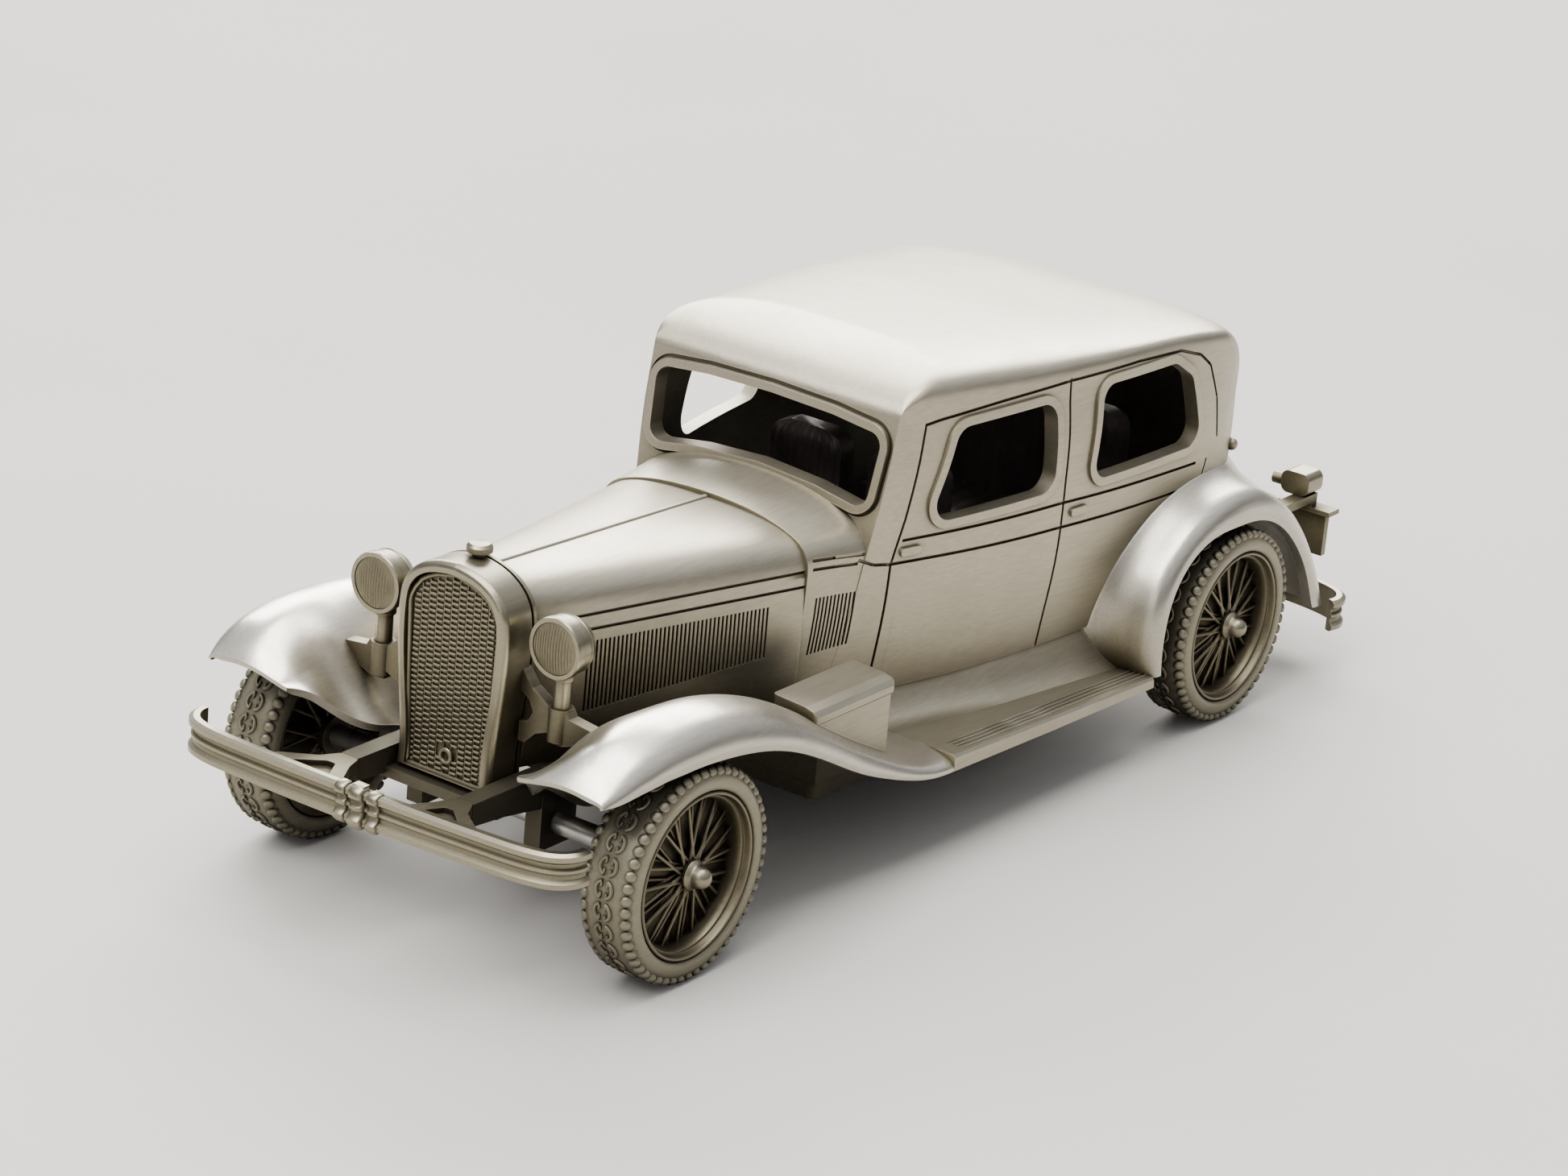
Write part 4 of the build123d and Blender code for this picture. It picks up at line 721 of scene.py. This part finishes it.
def fluted_cushion(made, x0, width, front_y, depth, top, pitch):
    """Padded cushion with rounded sides and front, fluted fore and aft."""
    steps = 12
    rings = []
    for i in range(steps + 1):
        y = front_y + 0.05 + (depth - 0.1) * i / steps
        front = min(1.0, 0.35 + 0.9 * math.sqrt(i / steps))
        row = []
        for j in range(SEAT_ACROSS + 1):
            s = j / SEAT_ACROSS
            x = x0 + width * s
            edge = min(s, 1 - s) * width
            round_side = math.sqrt(max(0.0, 1 - max(1 - edge / 0.7, 0) ** 2))
            swell = (0.55 + 0.14 * fluting(x, x0, pitch)) * round_side * front
            row.append(at_datum(x, y, top - 0.75 + swell))
        row += [at_datum(x0 + width, y, SEAT_FOOT), at_datum(x0, y, SEAT_FOOT)]
        rings.append(row)
    made.ring_skin(rings)


def seat_shape(middle, width, front_y, depth, cushion_top, back_top, pitch):
    """Seat or bench: a fluted back behind a fluted cushion."""
    made = Shape()
    x0 = middle - width / 2
    back_y = front_y + depth
    fluted_back(made, x0, x0 + width, back_y - 0.15, back_y + 1.65, back_top, pitch)
    fluted_cushion(made, x0, width, front_y, depth, cushion_top, pitch)
    return made


for word, middle in (("left", 4.55), ("right", -4.55)):
    seat = seat_shape(middle, width=6.6, front_y=1.2, depth=5.2, cushion_top=15.2, back_top=24.6, pitch=0.73)
    piece("fluted_seat_%s" % word, seat, "car", "interior_black", ["front_seat_%s" % word])
bench = seat_shape(0.0, width=19.5, front_y=21.5, depth=6.0, cushion_top=15.5, back_top=24.4, pitch=1.3)
piece("fluted_bench", bench, "car", "interior_black", ["rear_bench"])


# ------------------------------------------------------ floor, light, camera
FLOOR_HALF = 4.0
WARM = (1.0, 0.965, 0.905)
# Each light: name, place, what it points at, size, watts, colour.
LIGHTS = (("overhead", (0.0, -0.02, 0.46), (0, 0, 0.02), (0.34, 0.34), 2.2, (1.0, 0.965, 0.90)),
          ("back_window", (-0.44, 0.52, 0.42), (0, 0, 0.02), (0.75, 0.42), 11.0, WARM),
          ("front_top", (-0.06, -0.34, 0.44), (0, -0.01, 0.02), (0.38, 0.30), 3.0, WARM),
          ("front_fill", (0.16, -0.60, 0.20), (0, 0, 0.015), (0.36, 0.20), 0.30, (1.0, 0.97, 0.92)))
SKY = [(0.0, 0.30), (0.06, 0.18), (0.14, 0.18), (0.45, 0.58), (1.0, 0.85)]   # grey by height
CAMERA_AZIMUTH, CAMERA_ELEVATION, CAMERA_ROLL = (math.radians(a) for a in (35.15, 20.975, 5.07))
CAMERA_TARGET = datum + Vector((-1.17, 0.43, 14.04)) * MM
CAMERA_DISTANCE = 360.8 * MM
CAMERA_LENS, CAMERA_SENSOR = 111.74, 36.0


def area_light(name, place, aim, size, power, colour):
    """Soft rectangular light turned towards aim."""
    lamp = bpy.data.lights.new(name, "AREA")
    lamp.shape = "RECTANGLE"
    lamp.size, lamp.size_y = size
    lamp.energy = power
    lamp.color = colour
    made = show(name, lamp)
    made.location = place
    made.rotation_mode = "QUATERNION"
    made.rotation_quaternion = (Vector(aim) - Vector(place)).to_track_quat("-Z", "Y")


def floor_material():
    """Pale matt board with a faint mottle."""
    made, tree, shader = new_material("studio_floor")
    cloud = noise(tree, object_place(tree), 14.0, 6.0)
    colour = ramp(tree, cloud, [(0.3, (0.60, 0.59, 0.575)), (0.7, (0.64, 0.63, 0.615))])
    tree.links.new(colour, shader.inputs["Base Color"])
    shader.inputs["Roughness"].default_value = 0.75
    return made


def floor():
    """Plain square floor at Z = 0."""
    mesh = bpy.data.meshes.new("studio_floor")
    corners = [(x * FLOOR_HALF, y * FLOOR_HALF, 0) for x, y in ((-1, -1), (1, -1), (1, 1), (-1, 1))]
    mesh.from_pydata(corners, [], [(0, 1, 2, 3)])
    mesh.materials.append(floor_material())
    made = show("studio_floor", mesh)


def world():
    """Grey studio that brightens with height."""
    made = bpy.data.worlds.new("studio")
    made.use_nodes = True
    tree = made.node_tree
    tree.nodes.clear()
    height = upward(tree, node(tree, "ShaderNodeTexCoord").outputs["Generated"])
    back = node(tree, "ShaderNodeBackground", {"Color": ramp(tree, height, SKY), "Strength": 1.0})
    out = node(tree, "ShaderNodeOutputWorld")
    tree.links.new(back.outputs[0], out.inputs[0])
    bpy.context.scene.world = made


def camera():
    """Long-lens view from the front left, a little above the bonnet, with the horizon tipped slightly."""
    a, e = CAMERA_AZIMUTH, CAMERA_ELEVATION
    back = Vector((math.sin(a) * math.cos(e), -math.cos(a) * math.cos(e), math.sin(e)))
    right = Vector((0, 0, 1)).cross(back).normalized()
    up = back.cross(right)
    x = right * math.cos(CAMERA_ROLL) + up * math.sin(CAMERA_ROLL)
    y = up * math.cos(CAMERA_ROLL) - right * math.sin(CAMERA_ROLL)
    eye = CAMERA_TARGET + back * CAMERA_DISTANCE
    data = bpy.data.cameras.new("view")
    data.sensor_width = CAMERA_SENSOR
    data.lens = CAMERA_LENS
    data.clip_start, data.clip_end = 0.01, 20.0
    made = show("view", data)
    made.matrix_world = Matrix(((x.x, y.x, back.x, eye.x), (x.y, y.y, back.y, eye.y),
                                (x.z, y.z, back.z, eye.z), (0, 0, 0, 1)))
    bpy.context.scene.camera = made


floor()
world()
for light in LIGHTS:
    area_light(*light)
camera()
